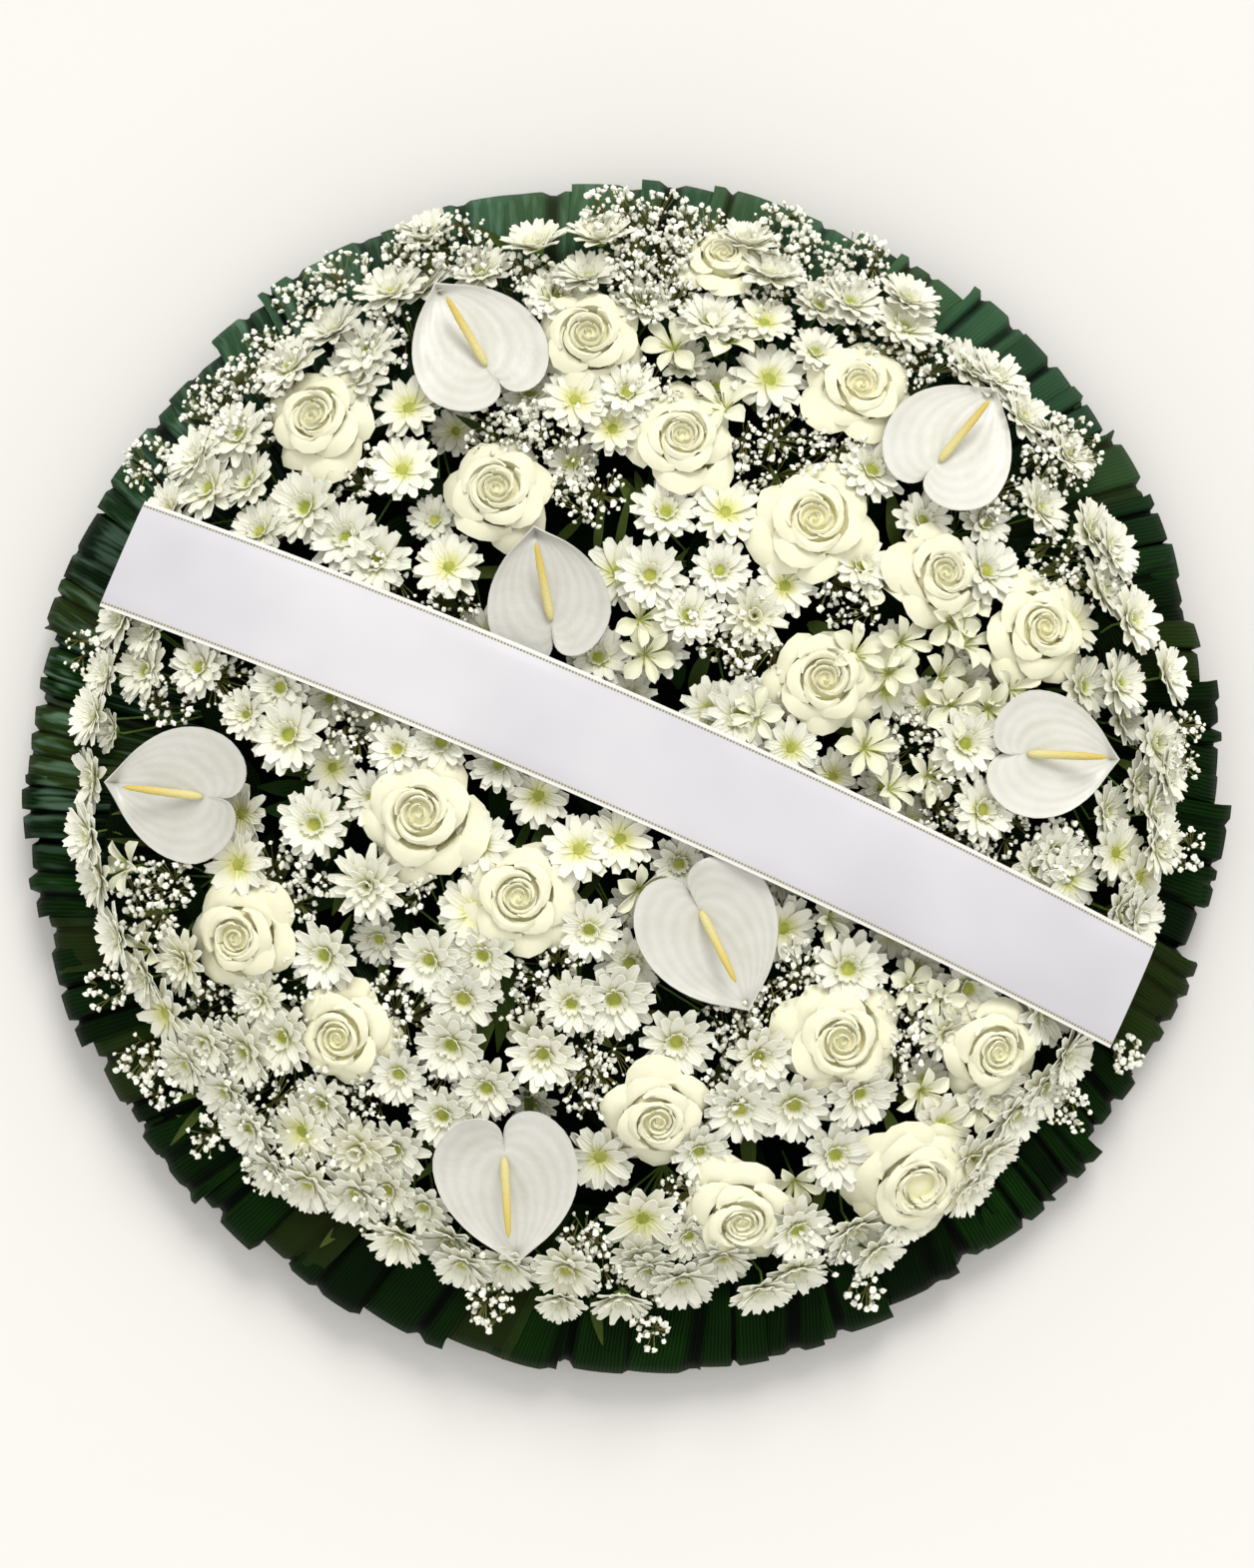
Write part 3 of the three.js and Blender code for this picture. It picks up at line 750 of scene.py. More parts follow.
@dataclass(frozen=True)
class LeafFinish(Finish):
    """Glossy leaf with fine lengthwise veins, painted shade in its folds, painted light above and
    painted highlight patches.
    """

    dark: Colour = shade(14, 36, 18)
    light: Colour = shade(44, 84, 50)
    pale: Colour = shade(122, 138, 66)
    # Colour of the painted highlight patches.
    bloom: Colour = shade(92, 122, 100)
    painted_highlight_share: float = 0.0
    # Colour of the painted light on the wreath's upper side.
    upper: Colour = shade(62, 96, 70)
    painted_light_share: float = 0.0
    veins: float = 24.0
    vein_share: float = 0.5
    unevenness: float = 0.8
    cloud_scale: float = 22.0
    cloud_share: float = 0.25
    tone_share: float = 0.9
    least_tone: float = 0.4
    # How steeply and how deep the painted shade in the folds falls.
    fold_power: float = 1.6
    fold_shade: float = 0.08
    relief_depth: float = 0.0006
    relief_strength: float = 0.5
    patchiness: float = 0.18

    # Scales of the painted highlight patches by tone, across and along.
    PATCH_SCALES = (37.0, 12.0, 5.0)
    # Where each starts and is full: the patches' noise, and places on the wreath in metres for the
    # painted highlights and the painted light above.
    PATCHES = (0.46, 0.68)
    HIGHLIGHT_HEIGHTS = (-0.14, 0.06)
    HIGHLIGHT_SIDES = (0.35, -0.3)
    PAINTED_LIGHT_HEIGHTS = (0.1, 0.42)

    def painted_highlights(self, canvas: Canvas, tone: Socket, aside: Socket, height: Socket) -> Socket:
        """Returns the share of the painted highlight patches by the leaf's tone and its place on
        the wreath.
        """
        by_tone, by_side, by_length = self.PATCH_SCALES
        across, along = canvas.surface()
        place = canvas.scaled(tone, by_tone, canvas.times(across, by_side))
        inputs = {0: place, 1: canvas.times(along, by_length)}
        patch = canvas.add("ShaderNodeCombineXYZ", inputs).outputs[0]
        share = canvas.steps(canvas.noise(patch, 1.0, 1.0), *self.PATCHES)
        share = canvas.times(share, self.painted_highlight_share)
        share = canvas.times(share, canvas.steps(height, *self.HIGHLIGHT_HEIGHTS))
        return canvas.times(share, canvas.steps(aside, *self.HIGHLIGHT_SIDES))

    def paint(self, canvas: Canvas, shader: bpy.types.Node) -> None:
        """Streaks the leaf along its veins and paints light, highlights and shade on it."""
        across, _ = canvas.surface()
        tone = canvas.attribute(TONE_NAME)
        cloud = canvas.effect(EFFECTS.mottling, Scale=self.cloud_scale)
        veins = canvas.effect(
            EFFECTS.ribs, Across=across, Count=self.veins, Unevenness=self.unevenness
        )
        share = canvas.times(cloud, self.cloud_share)
        share = canvas.scaled(veins, self.vein_share, share)
        toned = canvas.scaled(tone, self.tone_share, self.least_tone)
        colour = canvas.mix(canvas.times(share, toned), self.dark, self.light)
        aside, height, _ = canvas.add("ShaderNodeSeparateXYZ", {0: canvas.position()}).outputs
        # Painted light: the leaf is paler on the wreath's upper side.
        upper = canvas.steps(height, *self.PAINTED_LIGHT_HEIGHTS)
        colour = canvas.mix(canvas.times(upper, self.painted_light_share), colour, self.upper)
        # Painted highlight patches, most on the upper left of the wreath.
        colour = canvas.mix(self.painted_highlights(canvas, tone, aside, height), colour, self.bloom)
        # Painted shade: darker deep in the folds.
        fold = canvas.math("POWER", canvas.attribute(FOLD_NAME), self.fold_power)
        fold = canvas.scaled(fold, 1 - self.fold_shade, self.fold_shade)
        colour = canvas.mix(
            canvas.attribute(WARMTH_NAME), canvas.dimmed(colour, fold), self.pale
        )
        self.coat(canvas, shader, colour, self.rough(canvas, cloud), veins, self.relief_depth)


@dataclass(frozen=True)
class GrainFinish(Finish):
    """Plain matt stuff with a fine grain, such as foam, board, stem or floret disc."""

    base: Colour = shade(200, 200, 195)
    other: Colour = shade(180, 180, 175)
    grain: float = 400.0
    cloud_scale: float = 30.0
    relief_depth: float = 0.0003
    relief_strength: float = 0.6

    def paint(self, canvas: Canvas, shader: bpy.types.Node) -> None:
        """Mottles the colour and roughens the surface."""
        cloud = canvas.effect(EFFECTS.mottling, Scale=self.cloud_scale)
        grain = canvas.noise(canvas.position(), self.grain, 3.0)
        share = canvas.times(canvas.math("ADD", grain, cloud), 0.5)
        colour = canvas.mix(share, self.base, self.other)
        self.coat(canvas, shader, colour, self.rough(canvas, cloud), grain, self.relief_depth)


@dataclass(frozen=True)
class SatinFinish(Finish):
    """White satin: fine weave, woven selvedge along both edges, soft sheen."""

    cloth: Colour = shade(210, 209, 212)
    shaded: Colour = shade(193, 192, 197)
    selvedge: Colour = shade(226, 225, 219)
    roughness: float = 0.36
    specular: float = 0.35
    patchiness: float = 0.08
    cloud_scale: float = 5.0
    selvedge_share: float = 0.028
    selvedge_roughness: float = 0.3
    warp: float = 900.0
    weft: float = 9000.0
    warp_height: float = 0.25
    weft_height: float = 0.2
    weave_depth: float = 0.00008
    relief_strength: float = 0.3
    sheen: float = 0.25
    sheen_roughness: float = 0.4

    def paint(self, canvas: Canvas, shader: bpy.types.Node) -> None:
        """Weaves the cloth, paints soft clouds of highlight and shade on it and sets off its
        selvedge.
        """
        across, along = canvas.surface()
        to_edge = canvas.math("MINIMUM", across, canvas.math("SUBTRACT", 1.0, across))
        edge = canvas.math("LESS_THAN", to_edge, self.selvedge_share)
        cloud = canvas.effect(EFFECTS.mottling, Scale=self.cloud_scale)
        warp = canvas.math("SINE", canvas.times(across, self.warp))
        weft = canvas.math("SINE", canvas.times(along, self.weft))
        weave = canvas.scaled(warp, self.warp_height, 0.5)
        weave = canvas.scaled(weft, self.weft_height, weave)
        # Painted highlights and shade: soft clouds between the cloth colour and the shaded one.
        colour = canvas.mix(cloud, self.cloth, self.shaded)
        colour = canvas.mix(edge, colour, self.selvedge)
        rough = self.rough(canvas, cloud)
        rough = canvas.scaled(edge, self.selvedge_roughness, rough)
        shader.inputs["Sheen Weight"].default_value = self.sheen
        shader.inputs["Sheen Roughness"].default_value = self.sheen_roughness
        self.coat(canvas, shader, colour, rough, weave, self.weave_depth)


class Palette:
    """All finishes of the wreath, each built once."""

    def __init__(self) -> None:
        """Builds the materials."""
        self.daisy = PetalFinish(
            "daisy_petal", roughness=0.62, tip=shade(238, 238, 224), foot=shade(206, 209, 132),
            warm=shade(232, 226, 148), foot_ends=0.55,
        ).make()
        self.rose = PetalFinish(
            "rose_petal", roughness=0.6, tip=shade(236, 234, 207), foot=shade(237, 230, 158),
            warm=shade(247, 238, 170), foot_ends=0.8, ribs=2.0, relief_depth=0.0005, sheen=0.1,
        ).make()
        self.star = PetalFinish(
            "star_petal", roughness=0.55, tip=shade(232, 232, 208), foot=shade(190, 200, 98),
            foot_ends=0.32, ribs=2.0,
        ).make()
        self.spathe = SpatheFinish("anthurium_spathe").make()
        self.spadix = SpadixFinish("anthurium_spadix").make()
        # The collar leaf carries painted highlights, painted light above and painted shade in its
        # folds.
        self.leaf = LeafFinish(
            "collar_leaf", roughness=0.35, specular=0.025, dark=shade(3, 16, 1),
            light=shade(20, 56, 8), painted_highlight_share=0.7, painted_light_share=0.75,
        ).make()
        self.green = LeafFinish(
            "gap_leaf", roughness=0.43, specular=0.05, dark=shade(2, 12, 2),
            light=shade(34, 66, 16), veins=8.0,
        ).make()
        self.satin = SatinFinish("sash_satin").make()
        self.disc = GrainFinish(
            "daisy_disc", 0.7, 0.2, base=shade(120, 140, 46), other=shade(192, 188, 96),
            grain=900.0, cloud_scale=120.0, relief_depth=0.0008,
        ).make()
        self.stem = GrainFinish(
            "stem", 0.55, base=shade(70, 104, 34), other=shade(104, 132, 52), grain=500.0,
            cloud_scale=60.0,
        ).make()
        self.blossom = GrainFinish(
            "tiny_blossom", 0.75, 0.2, base=shade(248, 248, 238), other=shade(234, 234, 216),
            grain=900.0, cloud_scale=150.0,
        ).make()
        self.twig = GrainFinish(
            "twig", base=shade(96, 98, 46), other=shade(128, 126, 70), grain=500.0,
            cloud_scale=60.0,
        ).make()
        self.thread = GrainFinish(
            "gold_thread", 0.45, 0.5, base=shade(150, 142, 84), other=shade(118, 108, 56),
            grain=1500.0, cloud_scale=300.0,
        ).make()
        self.board = GrainFinish(
            "rigid_board", 0.8, base=shade(224, 226, 220), other=shade(206, 208, 202),
            grain=300.0, cloud_scale=20.0,
        ).make()
        self.foam = GrainFinish(
            "floral_foam", 0.95, 0.02, base=shade(8, 22, 8), other=shade(3, 12, 4), grain=700.0,
            cloud_scale=40.0, relief_depth=0.0008,
        ).make()
        self.floor = GrainFinish(
            "pale_floor", 0.95, 0.05, base=shade(222, 220, 217), other=shade(221, 219, 216),
            grain=60.0, cloud_scale=3.0, relief_depth=0.0,
        ).make()


# ---- Chrysanthemums ------------------------------------------------------------------
class HeadKind(Enum):
    """Looks that a chrysanthemum head takes."""

    OPEN = "open"
    GREEN = "green"
    DOUBLE = "double"
    CUP = "cup"


OPEN, GREEN, DOUBLE, CUP = HeadKind


@dataclass(frozen=True)
class PetalRing:
    """One ring of petals on a chrysanthemum head, in radii of the head."""

    count: int
    length: float
    width: float
    rise: float
    droop: float
    start: float = 0.14
    faces_along: int = 3


@dataclass
class DaisyHead:
    """One chrysanthemum head of radius 1."""

    kind: HeadKind
    seed: int
    disc_radius: float = 0.175
    thickness: float = 0.022

    # Places along a petal from its foot, and the share of its width at each.
    PETAL_WIDTHS = (0, 0.35, 0.7, 1), (0.7, 1.0, 1.05, 0.6)
    # Depth of the notch at the tips of the petals in turn: less than 0 is a point.
    NOTCHES = (0.05, -0.05, 0.03)
    RINGS = {
        OPEN: (
            PetalRing(13, 0.87, 0.205, 18.0, 0.08), PetalRing(12, 0.78, 0.19, 34.0, 0.08),
            PetalRing(10, 0.32, 0.11, 62.0, 0.0, 0.17, 2),
        ),
        GREEN: (
            PetalRing(12, 0.86, 0.215, 12.0, 0.12), PetalRing(10, 0.77, 0.21, 25.0, 0.12),
        ),
        DOUBLE: (
            PetalRing(13, 0.84, 0.17, 12.0, 0.10), PetalRing(12, 0.72, 0.16, 28.0, 0.06),
            PetalRing(10, 0.54, 0.14, 46.0, 0.0, 0.10, 2),
            PetalRing(8, 0.34, 0.12, 66.0, -0.05, 0.06, 2),
        ),
        CUP: (
            PetalRing(12, 0.86, 0.20, 36.0, 0.16), PetalRing(10, 0.76, 0.18, 50.0, 0.12),
            PetalRing(7, 0.36, 0.10, 68.0, 0.0, 0.14, 2),
        ),
    }

    def petal(self, ring: PetalRing, notch: float) -> Form:
        """Models one petal of a ring along +X, its foot at the origin.

        Args:
            ring: The ring that it belongs to.
            notch: Depth of the notch at its tip, or less than 0 for a pointed tip.

        Returns:
            The petal.
        """

        def shape(across: float, along: float) -> Point:
            wide = float(np.interp(along, *self.PETAL_WIDTHS))
            cut = notch if along > 0.99 and abs(across) < 0.1 else 0.0
            out = ring.length * (along - cut)
            channel = 0.24 * ring.width * (abs(across) ** 1.5 - 0.6)
            lift = -ring.droop * ring.length * (along**2.2) + channel
            return out, ring.width * wide * across * 0.85, lift

        return Bench.sheet(2, ring.faces_along, shape, self.thickness)

    def disc(self) -> Form:
        """Models the bumpy dome of florets in the middle."""
        radius = self.disc_radius

        def shape(point: Vector, number: int) -> Vector:
            bump = 1.0 + (0.12 if number % 2 else -0.06)
            hollow = 0.35 * max(point.z, 0.0) * (1 - hypot(point.x, point.y))
            return Vector((
                point.x * radius * bump, point.y * radius * bump,
                (point.z * 0.5 - hollow) * radius + 0.02,
            ))

        return Bench.ball(8, 5, shape).painted(1)

    def calyx(self) -> Form:
        """Models the green cup under the petals."""

        def shape(point: Vector, number: int) -> Vector:
            wide = 0.22 if point.z > -0.2 else 0.16
            edge = 1.15 if number % 2 else 0.95
            return Vector((point.x * wide * edge, point.y * wide * edge, point.z * 0.10 - 0.07))

        return Bench.ball(8, 4, shape).painted(2)

    def build(self) -> Form:
        """Puts the head together, facing +Z."""
        chance = Random(self.seed)
        forms = [self.calyx()] if self.kind is DOUBLE else [self.disc(), self.calyx()]
        for number, ring in enumerate(self.RINGS[self.kind]):
            petals = [self.petal(ring, notch) for notch in self.NOTCHES]
            for place in range(ring.count):
                turn = tau * (place + 0.5 * number + chance.uniform(-0.16, 0.16)) / ring.count
                rise = radians(ring.rise + chance.uniform(-7, 7))
                stretch = chance.uniform(0.9, 1.06)
                matrix = (
                    Matrix.Rotation(turn, 4, "Z")
                    @ Matrix.Translation((ring.start, 0, 0.012 * number))
                    @ Matrix.Rotation(-rise, 4, "Y")
                    @ Matrix.Rotation(chance.uniform(-0.22, 0.22), 4, "X")
                    @ Matrix.Diagonal((stretch, chance.uniform(0.9, 1.1), 1, 1))
                )
                forms.append(petals[place % len(petals)].moved(matrix))
        return Form.joined(forms)


@dataclass(frozen=True)
class Spray:
    """One branched stem of chrysanthemums: places in millimetres, as in the CAD model.

    Each head is (x, y, radius), and its kind where it isn't open. The first four to six
    are the CAD model's own.
    """

    fork: tuple[float, float]
    heads: tuple[tuple, ...]


SPRAYS = (
    Spray((-236, 190), (
        (-300, 225, 24), (-319, 188, 22), (-234, 288, 24), (-204, 314, 24), (-262, 206, 22),
        (-290, 203, 24), (-221, 188, 26), (-253, 171, 22), (-270, 240, 24), (-306, 152, 22, CUP),
    )),
    Spray((-132, 250), (
        (-163, 341, 24), (-180, 298, 24), (-150, 258, 24, GREEN), (-154, 214, 23, GREEN),
        (-62, 372, 24, CUP), (-138, 381, 22, CUP), (-142, 345, 23), (-189, 278, 25),
        (-192, 166, 25), (-100, 356, 22),
    )),
    Spray((-40, 258), (
        (-16, 378, 23, CUP), (-46, 336, 25), (-34, 262, 22, GREEN), (-8, 242, 20, GREEN),
        (-66, 267, 22), (2, 268, 22), (14, 330, 22), (-26, 350, 22),
    )),
    Spray((98, 266), (
        (103, 352, 24), (60, 318, 23), (101, 278, 25, GREEN), (158, 333, 24), (196, 316, 24),
        (85, 374, 22, CUP), (98, 318, 20, GREEN), (200, 336, 22), (133, 297, 18), (136, 330, 20),
    )),
    Spray((232, 172), (
        (243, 288, 24), (280, 254, 24), (291, 189, 22), (328, 172, 24), (172, 214, 23),
        (164, 147, 21), (251, 144, 24), (208, 179, 20), (251, 179, 20), (342, 160, 23),
        (262, 282, 22), (312, 226, 20),
    )),
    Spray((286, 62), (
        (356, 110, 24), (346, 66, 23), (373, 24, 23), (370, -22, 23), (344, -52, 22, GREEN),
        (312, 109, 22, GREEN), (321, 64, 22), (381, 72, 22), (381, 3, 22), (236, 24, 24),
        (334, 132, 22), (360, -4, 20), (350, 42, 20), (338, -24, 20),
    )),
    Spray((262, -58), (
        (310, -70, 24, GREEN), (349, -94, 23), (248, -22, 23), (271, -104, 22), (374, -47, 23),
        (362, -70, 22, GREEN), (363, -99, 21), (300, -52, 20), (286, -62, 20),
    )),
    Spray((216, -208), (
        (239, -146, 23), (295, -165, 24), (319, -200, 24), (282, -242, 24), (250, -276, 24),
        (263, -218, 22), (303, -223, 23), (221, -242, 23, GREEN), (264, -272, 23), (247, -297, 21),
        (336, -168, 20), (224, -178, 20, DOUBLE),
    )),
    Spray((152, -240), (
        (147, -262, 24), (163, -218, 24), (166, -326, 25), (122, -318, 24), (124, -356, 22),
        (118, -226, 25), (215, -307, 20), (201, -318, 20), (155, -132, 26), (182, -342, 20),
    )),
    Spray((28, -272), (
        (41, -362, 24), (-2, -374, 22, CUP), (-41, -352, 24), (13, -306, 26, GREEN),
        (-17, -264, 24, GREEN), (11, -337, 20), (52, -258, 20), (45, -319, 18), (70, -341, 21),
        (99, -369, 22), (80, -228, 25), (18, -350, 20),
    )),
    Spray((-146, -252), (
        (-84, -352, 22), (-124, -334, 24), (-162, -331, 22, CUP), (-192, -298, 25),
        (-160, -258, 23), (-126, -234, 22), (-185, -259, 27, DOUBLE), (-165, -288, 20),
        (-116, -351, 21), (-46, -376, 18, CUP), (-156, -205, 20), (-95, -214, 22), (-140, -300, 20),
    )),
    Spray((-232, -192), (
        (-228, -292, 24), (-226, -248, 24, GREEN), (-270, -252, 22), (-264, -190, 26),
        (-237, -180, 24), (-253, -154, 20, DOUBLE), (-288, -226, 21), (-254, -283, 20),
        (-300, -190, 22), (-210, -226, 21),
    )),
    Spray((-290, -70), (
        (-330, -169, 24, GREEN), (-308, -128, 23, DOUBLE), (-358, -112, 22), (-369, -70, 23),
        (-268, -60, 24, GREEN), (-376, -40, 23), (-267, -25, 20, GREEN), (-342, -142, 20),
        (-316, -206, 20),
    )),
    Spray((-262, 52), (
        (-375, 0, 22), (-372, 44, 22), (-334, 75, 23), (-352, 112, 22), (-232, 30, 26),
        (-214, -32, 24), (-332, 102, 19), (-295, 77, 22), (-363, 72, 19), (-359, 34, 16, CUP),
        (-238, 63, 21), (-262, 44, 18, CUP),
    )),
    Spray((-118, -112), (
        (-177, -74, 26, DOUBLE), (-207, -122, 24), (-134, -125, 24), (-97, -122, 22),
        (-119, -184, 25), (-111, -152, 24), (-103, -92, 24, GREEN), (-98, -46, 21, GREEN),
        (-174, -14, 20), (-156, 20, 20), (-126, 25, 21),
    )),
    Spray((50, 152), (
        (29, 184, 23), (70, 184, 23, GREEN), (18, 140, 23), (66, 143, 20), (90, 112, 24, DOUBLE),
        (-4, 142, 24, GREEN), (111, 133, 21, GREEN), (-18, 83, 22), (59, 46, 21, GREEN),
        (80, 43, 26), (115, 21, 20, GREEN), (-121, 146, 23, GREEN), (-172, 150, 25), (-86, 10, 20),
        (44, 112, 21),
    )),
    Spray((18, -140), (
        (-7, -152, 26), (-56, -190, 25, CUP), (-24, -104, 22), (36, -182, 25),
        (110, -104, 22, GREEN), (93, -192, 23, CUP), (-36, -155, 21), (-31, -49, 23, GREEN),
        (-3, -42, 22, GREEN), (-59, -12, 21, GREEN), (38, -59, 20), (4, -128, 22),
    )),
)


@dataclass
class Chrysanthemums:
    """All sprays of chrysanthemums."""

    palette: Palette
    sash: "Sash"
    variants: int = 3
    head_growth: float = 1.11
    stem_radius: float = 1.3 * MM
    branch_radius: float = 0.9 * MM
    fork_height: float = 13 * MM
    stem_depth: float = 24 * MM
    filler_tries: int = 9000
    filler_reach: float = 372.0
    filler_gap: float = 10.5
    filler_room: float = 15.0
    rim_pull: float = 11.0
    head_level: float = 2.0
    filler_level: float = -13.0
    level_spread: float = 3.5
    spathe_room: float = 9.0
    lean_spread: float = 0.12
    nod_spread: float = 0.16

    WARMTH = {OPEN: 0.1, GREEN: 0.28, DOUBLE: 0.34, CUP: 0.16}
    # Smallest and largest filler heads, in millimetres.
    FILLER_RADII = (17, 21)
    # Where the pull at the lower rim starts and is full: below and out from the axis.
    PULL_BELOW, PULL_OUT = (60, 200), (325, 365)
    # Places in millimetres that stay free for leaves: x, y and radius.
    CLEARINGS = (
        (-88, -160, 26), (-234, -18, 24), (-64, -46, 14), (48, 82, 14), (-4, 180, 16),
        (190, 182, 14), (86, -262, 12), (-84, 48, 14),
    )

    def fillers(self, chance: Random) -> list[tuple]:
        """Finds places for small heads that peek out from below the others.

        Args:
            chance: Seeded chance.

        Returns:
            Each as (x, y, radius, kind).
        """
        taken = [head[:3] for spray in SPRAYS for head in spray.heads]
        taken += [(x, y, size) for x, y, size, _, _ in Roses.PLACES] + [Roses.LISIANTHUS]
        taken += [(x, y, 0.5 * size) for x, y, size, _ in Gypsophila.CLOUDS]
        taken += list(self.CLEARINGS)
        taken += [(*place.middle(), 0.6 * place.length) for place in Anthuriums.PLACES]
        found = []
        for _ in range(self.filler_tries):
            x, y = scattered(chance, self.filler_reach)
            if self.sash.covers(x * MM, y * MM):
                continue
            gap = min(dist((x, y), other[:2]) - other[2] for other in taken)
            if gap > self.filler_gap:
                kind = chance.choice((GREEN, GREEN, CUP, OPEN))
                found.append((x, y, chance.uniform(*self.FILLER_RADII), kind))
                taken.append((x, y, self.filler_room))
        return found

    def drawn_in(self, x: float, y: float) -> tuple[float, float]:
        """Draws a head at the lower rim in from the collar, in millimetres."""
        out = hypot(x, y)
        share = smoothstep(-y, *self.PULL_BELOW) * smoothstep(out, *self.PULL_OUT)
        inward = 1 - self.rim_pull * share / max(out, 1.0)
        return x * inward, y * inward

    def build(self) -> None:
        """Builds one piece for each spray."""
        heads = {
            kind: [DaisyHead(kind, 11 * number + 3).build() for number in range(self.variants)]
            for kind in HeadKind
        }
        tube = Bench.tube(5, 5)
        chance = Random(2)
        extra = {spray.fork: [] for spray in SPRAYS}
        for filler in self.fillers(chance):
            extra[min(extra, key=lambda fork: dist(fork, filler[:2]))].append(filler)
        LOG.info("filler heads: %d", sum(len(group) for group in extra.values()))
        for number, spray in enumerate(SPRAYS, 1):
            self.spray(number, spray, extra[spray.fork], heads, tube, chance)

    def spray(
        self, number: int, spray: Spray, fillers: list, heads: dict, tube: Form,
        chance: Random,
    ) -> None:
        """Builds one spray.

        Args:
            number: Its number in the CAD model.
            spray: Its fork and heads.
            fillers: Lower heads that it carries besides.
            heads: Modelled heads of each kind.
            tube: Upright tube for its stems.
            chance: Seeded chance.
        """
        palette = self.palette
        finishes = [palette.daisy, palette.disc, palette.stem]
        piece = Piece(f"chrysanthemums_{number:02d}", "chrysanthemum", finishes)
        x, y = (value * MM for value in spray.fork)
        fork = np.array((x, y, DOME.foam_top(x, y) + self.fork_height))
        foot = fork - (0.06 * x, 0.06 * y, self.fork_height + self.stem_depth)
        piece.add_stem(tube, (foot, fork), self.stem_radius, 2)
        levels = [self.head_level] * len(spray.heads) + [self.filler_level] * len(fillers)
        for (head_x, head_y, radius, *look), level in zip((*spray.heads, *fillers), levels):
            kind = look[0] if look else OPEN
            x, y = (value * MM for value in self.drawn_in(head_x, head_y))
            lean = DOME.lean(x, y) + either_way(chance, self.lean_spread)
            rise = level + either_way(chance, self.level_spread)
            if Anthuriums.above(head_x, head_y):
                rise -= self.spathe_room
            stand = DOME.stand(x, y, rise * MM, lean, chance.uniform(0, tau))
            size = radius * MM * self.head_growth
            nod = Matrix.Rotation(either_way(chance, self.nod_spread), 4, "X")
            form = chance.choice(heads[kind]).moved(stand @ nod @ Matrix.Scale(size, 4))
            warmth = self.WARMTH[kind] * chance.uniform(0.4, 1.3)
            piece.add(form.reshaped(self.sash.kept_under), chance.random(), warmth)
            back = np.array(stand @ Vector((0, 0, -0.1 * size)))
            under = np.array(stand @ Vector((0, 0, -0.9 * size)))
            piece.add_stem(tube, (fork, under, back), self.branch_radius, 2, chance.random())
        piece.build(f"chrysanthemum_spray_{number:02d}")


# ---- Roses ---------------------------------------------------------------------------
@dataclass
class RoseHead:
    """One double bloom of radius 1, its petals wrapped in a spiral round the heart."""

    seed: int
    petals: int = 22
    opening: float = 0.0
    ruffle: float = 0.02
    thickness: float = 0.013
    golden_turn: float = 137.5
    heart: float = 0.06
    foot: float = -0.3
    top: float = 0.58
    rim_starts: float = 0.68

    def petal(self, share: float, chance: Random) -> Form:
        """Models one petal standing round the Z axis.

        Args:
            share: Its place from the heart, 0, to the outermost petal, 1.
            chance: Seeded chance.

        Returns:
            The petal, facing +X.
        """
        open_share = min(share + self.opening * (1 - share), 1.0)
        radius = self.heart + 0.65 * open_share**0.85 * chance.uniform(0.9, 1.1)
        falling = smoothstep(open_share, 0.45, 1.0)
        height = self.top + 0.03 * sin(pi * share) - 0.40 * falling
        half_width = 96 - 50 * open_share**0.6 + chance.uniform(-4, 4)
        curl = 0.01 + 0.28 * open_share**1.5
        drop = 0.22 * open_share**2.0
        point = 0.19 * smoothstep(open_share, 0.3, 0.8)
        lap = chance.uniform(0.08, 0.18)
        phase = chance.uniform(0, tau)
        aside = chance.uniform(-0.35, 0.35)

        def shape(across: float, along: float) -> Point:
            reach = along * (1 - 0.2 * abs(across) ** 3)
            body = min(reach / self.rim_starts, 1.0)
            rim = max((reach - self.rim_starts) / (1 - self.rim_starts), 0.0)
            wide = 0.45 + 0.55 * sin(pi / 2 * min(along / 0.6, 1.0))
            turn = radians(half_width) * across * wide
            peak = max(1 - abs(across - aside), 0.0)
            out = self.heart + (radius - self.heart) * sin(pi / 2 * body**0.8)
            out += curl * rim**1.3 + point * rim * peak * 1.2
            out += lap * radius * across * body
            up = self.foot + (height - self.foot) * body**1.25
            up += 0.05 * sin(pi * min(rim, 1.0)) - drop * rim**2
            up -= 1.8 * point * across**2 * rim
            up += self.ruffle * (1 + 2 * open_share) * sin(4.2 * across + phase) * rim
            return out * cos(turn), out * sin(turn), up

        return Bench.sheet(8, 7, shape, self.thickness)

    def core(self) -> Form:
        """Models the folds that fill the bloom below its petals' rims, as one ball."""

        def shape(point: Vector, _: int) -> Vector:
            return Vector((point.x * 0.56, point.y * 0.56, 0.12 + 0.42 * point.z))

        form = Bench.ball(12, 6, shape)
        form.uvs[:, 1] = 0.5
        return form

    def build(self) -> Form:
        """Puts the bloom together, facing +Z."""
        chance = Random(self.seed)
        forms = [self.core()]
        for number in range(self.petals):
            share = number / (self.petals - 1)
            turn = radians(number * self.golden_turn + chance.uniform(-12, 12))
            tilt = chance.uniform(-0.07, 0.07) * (0.4 + share)
            matrix = Matrix.Rotation(turn, 4, "Z") @ Matrix.Rotation(tilt, 4, "Y")
            forms.append(self.petal(share, chance).moved(matrix))
        return Form.joined(forms)


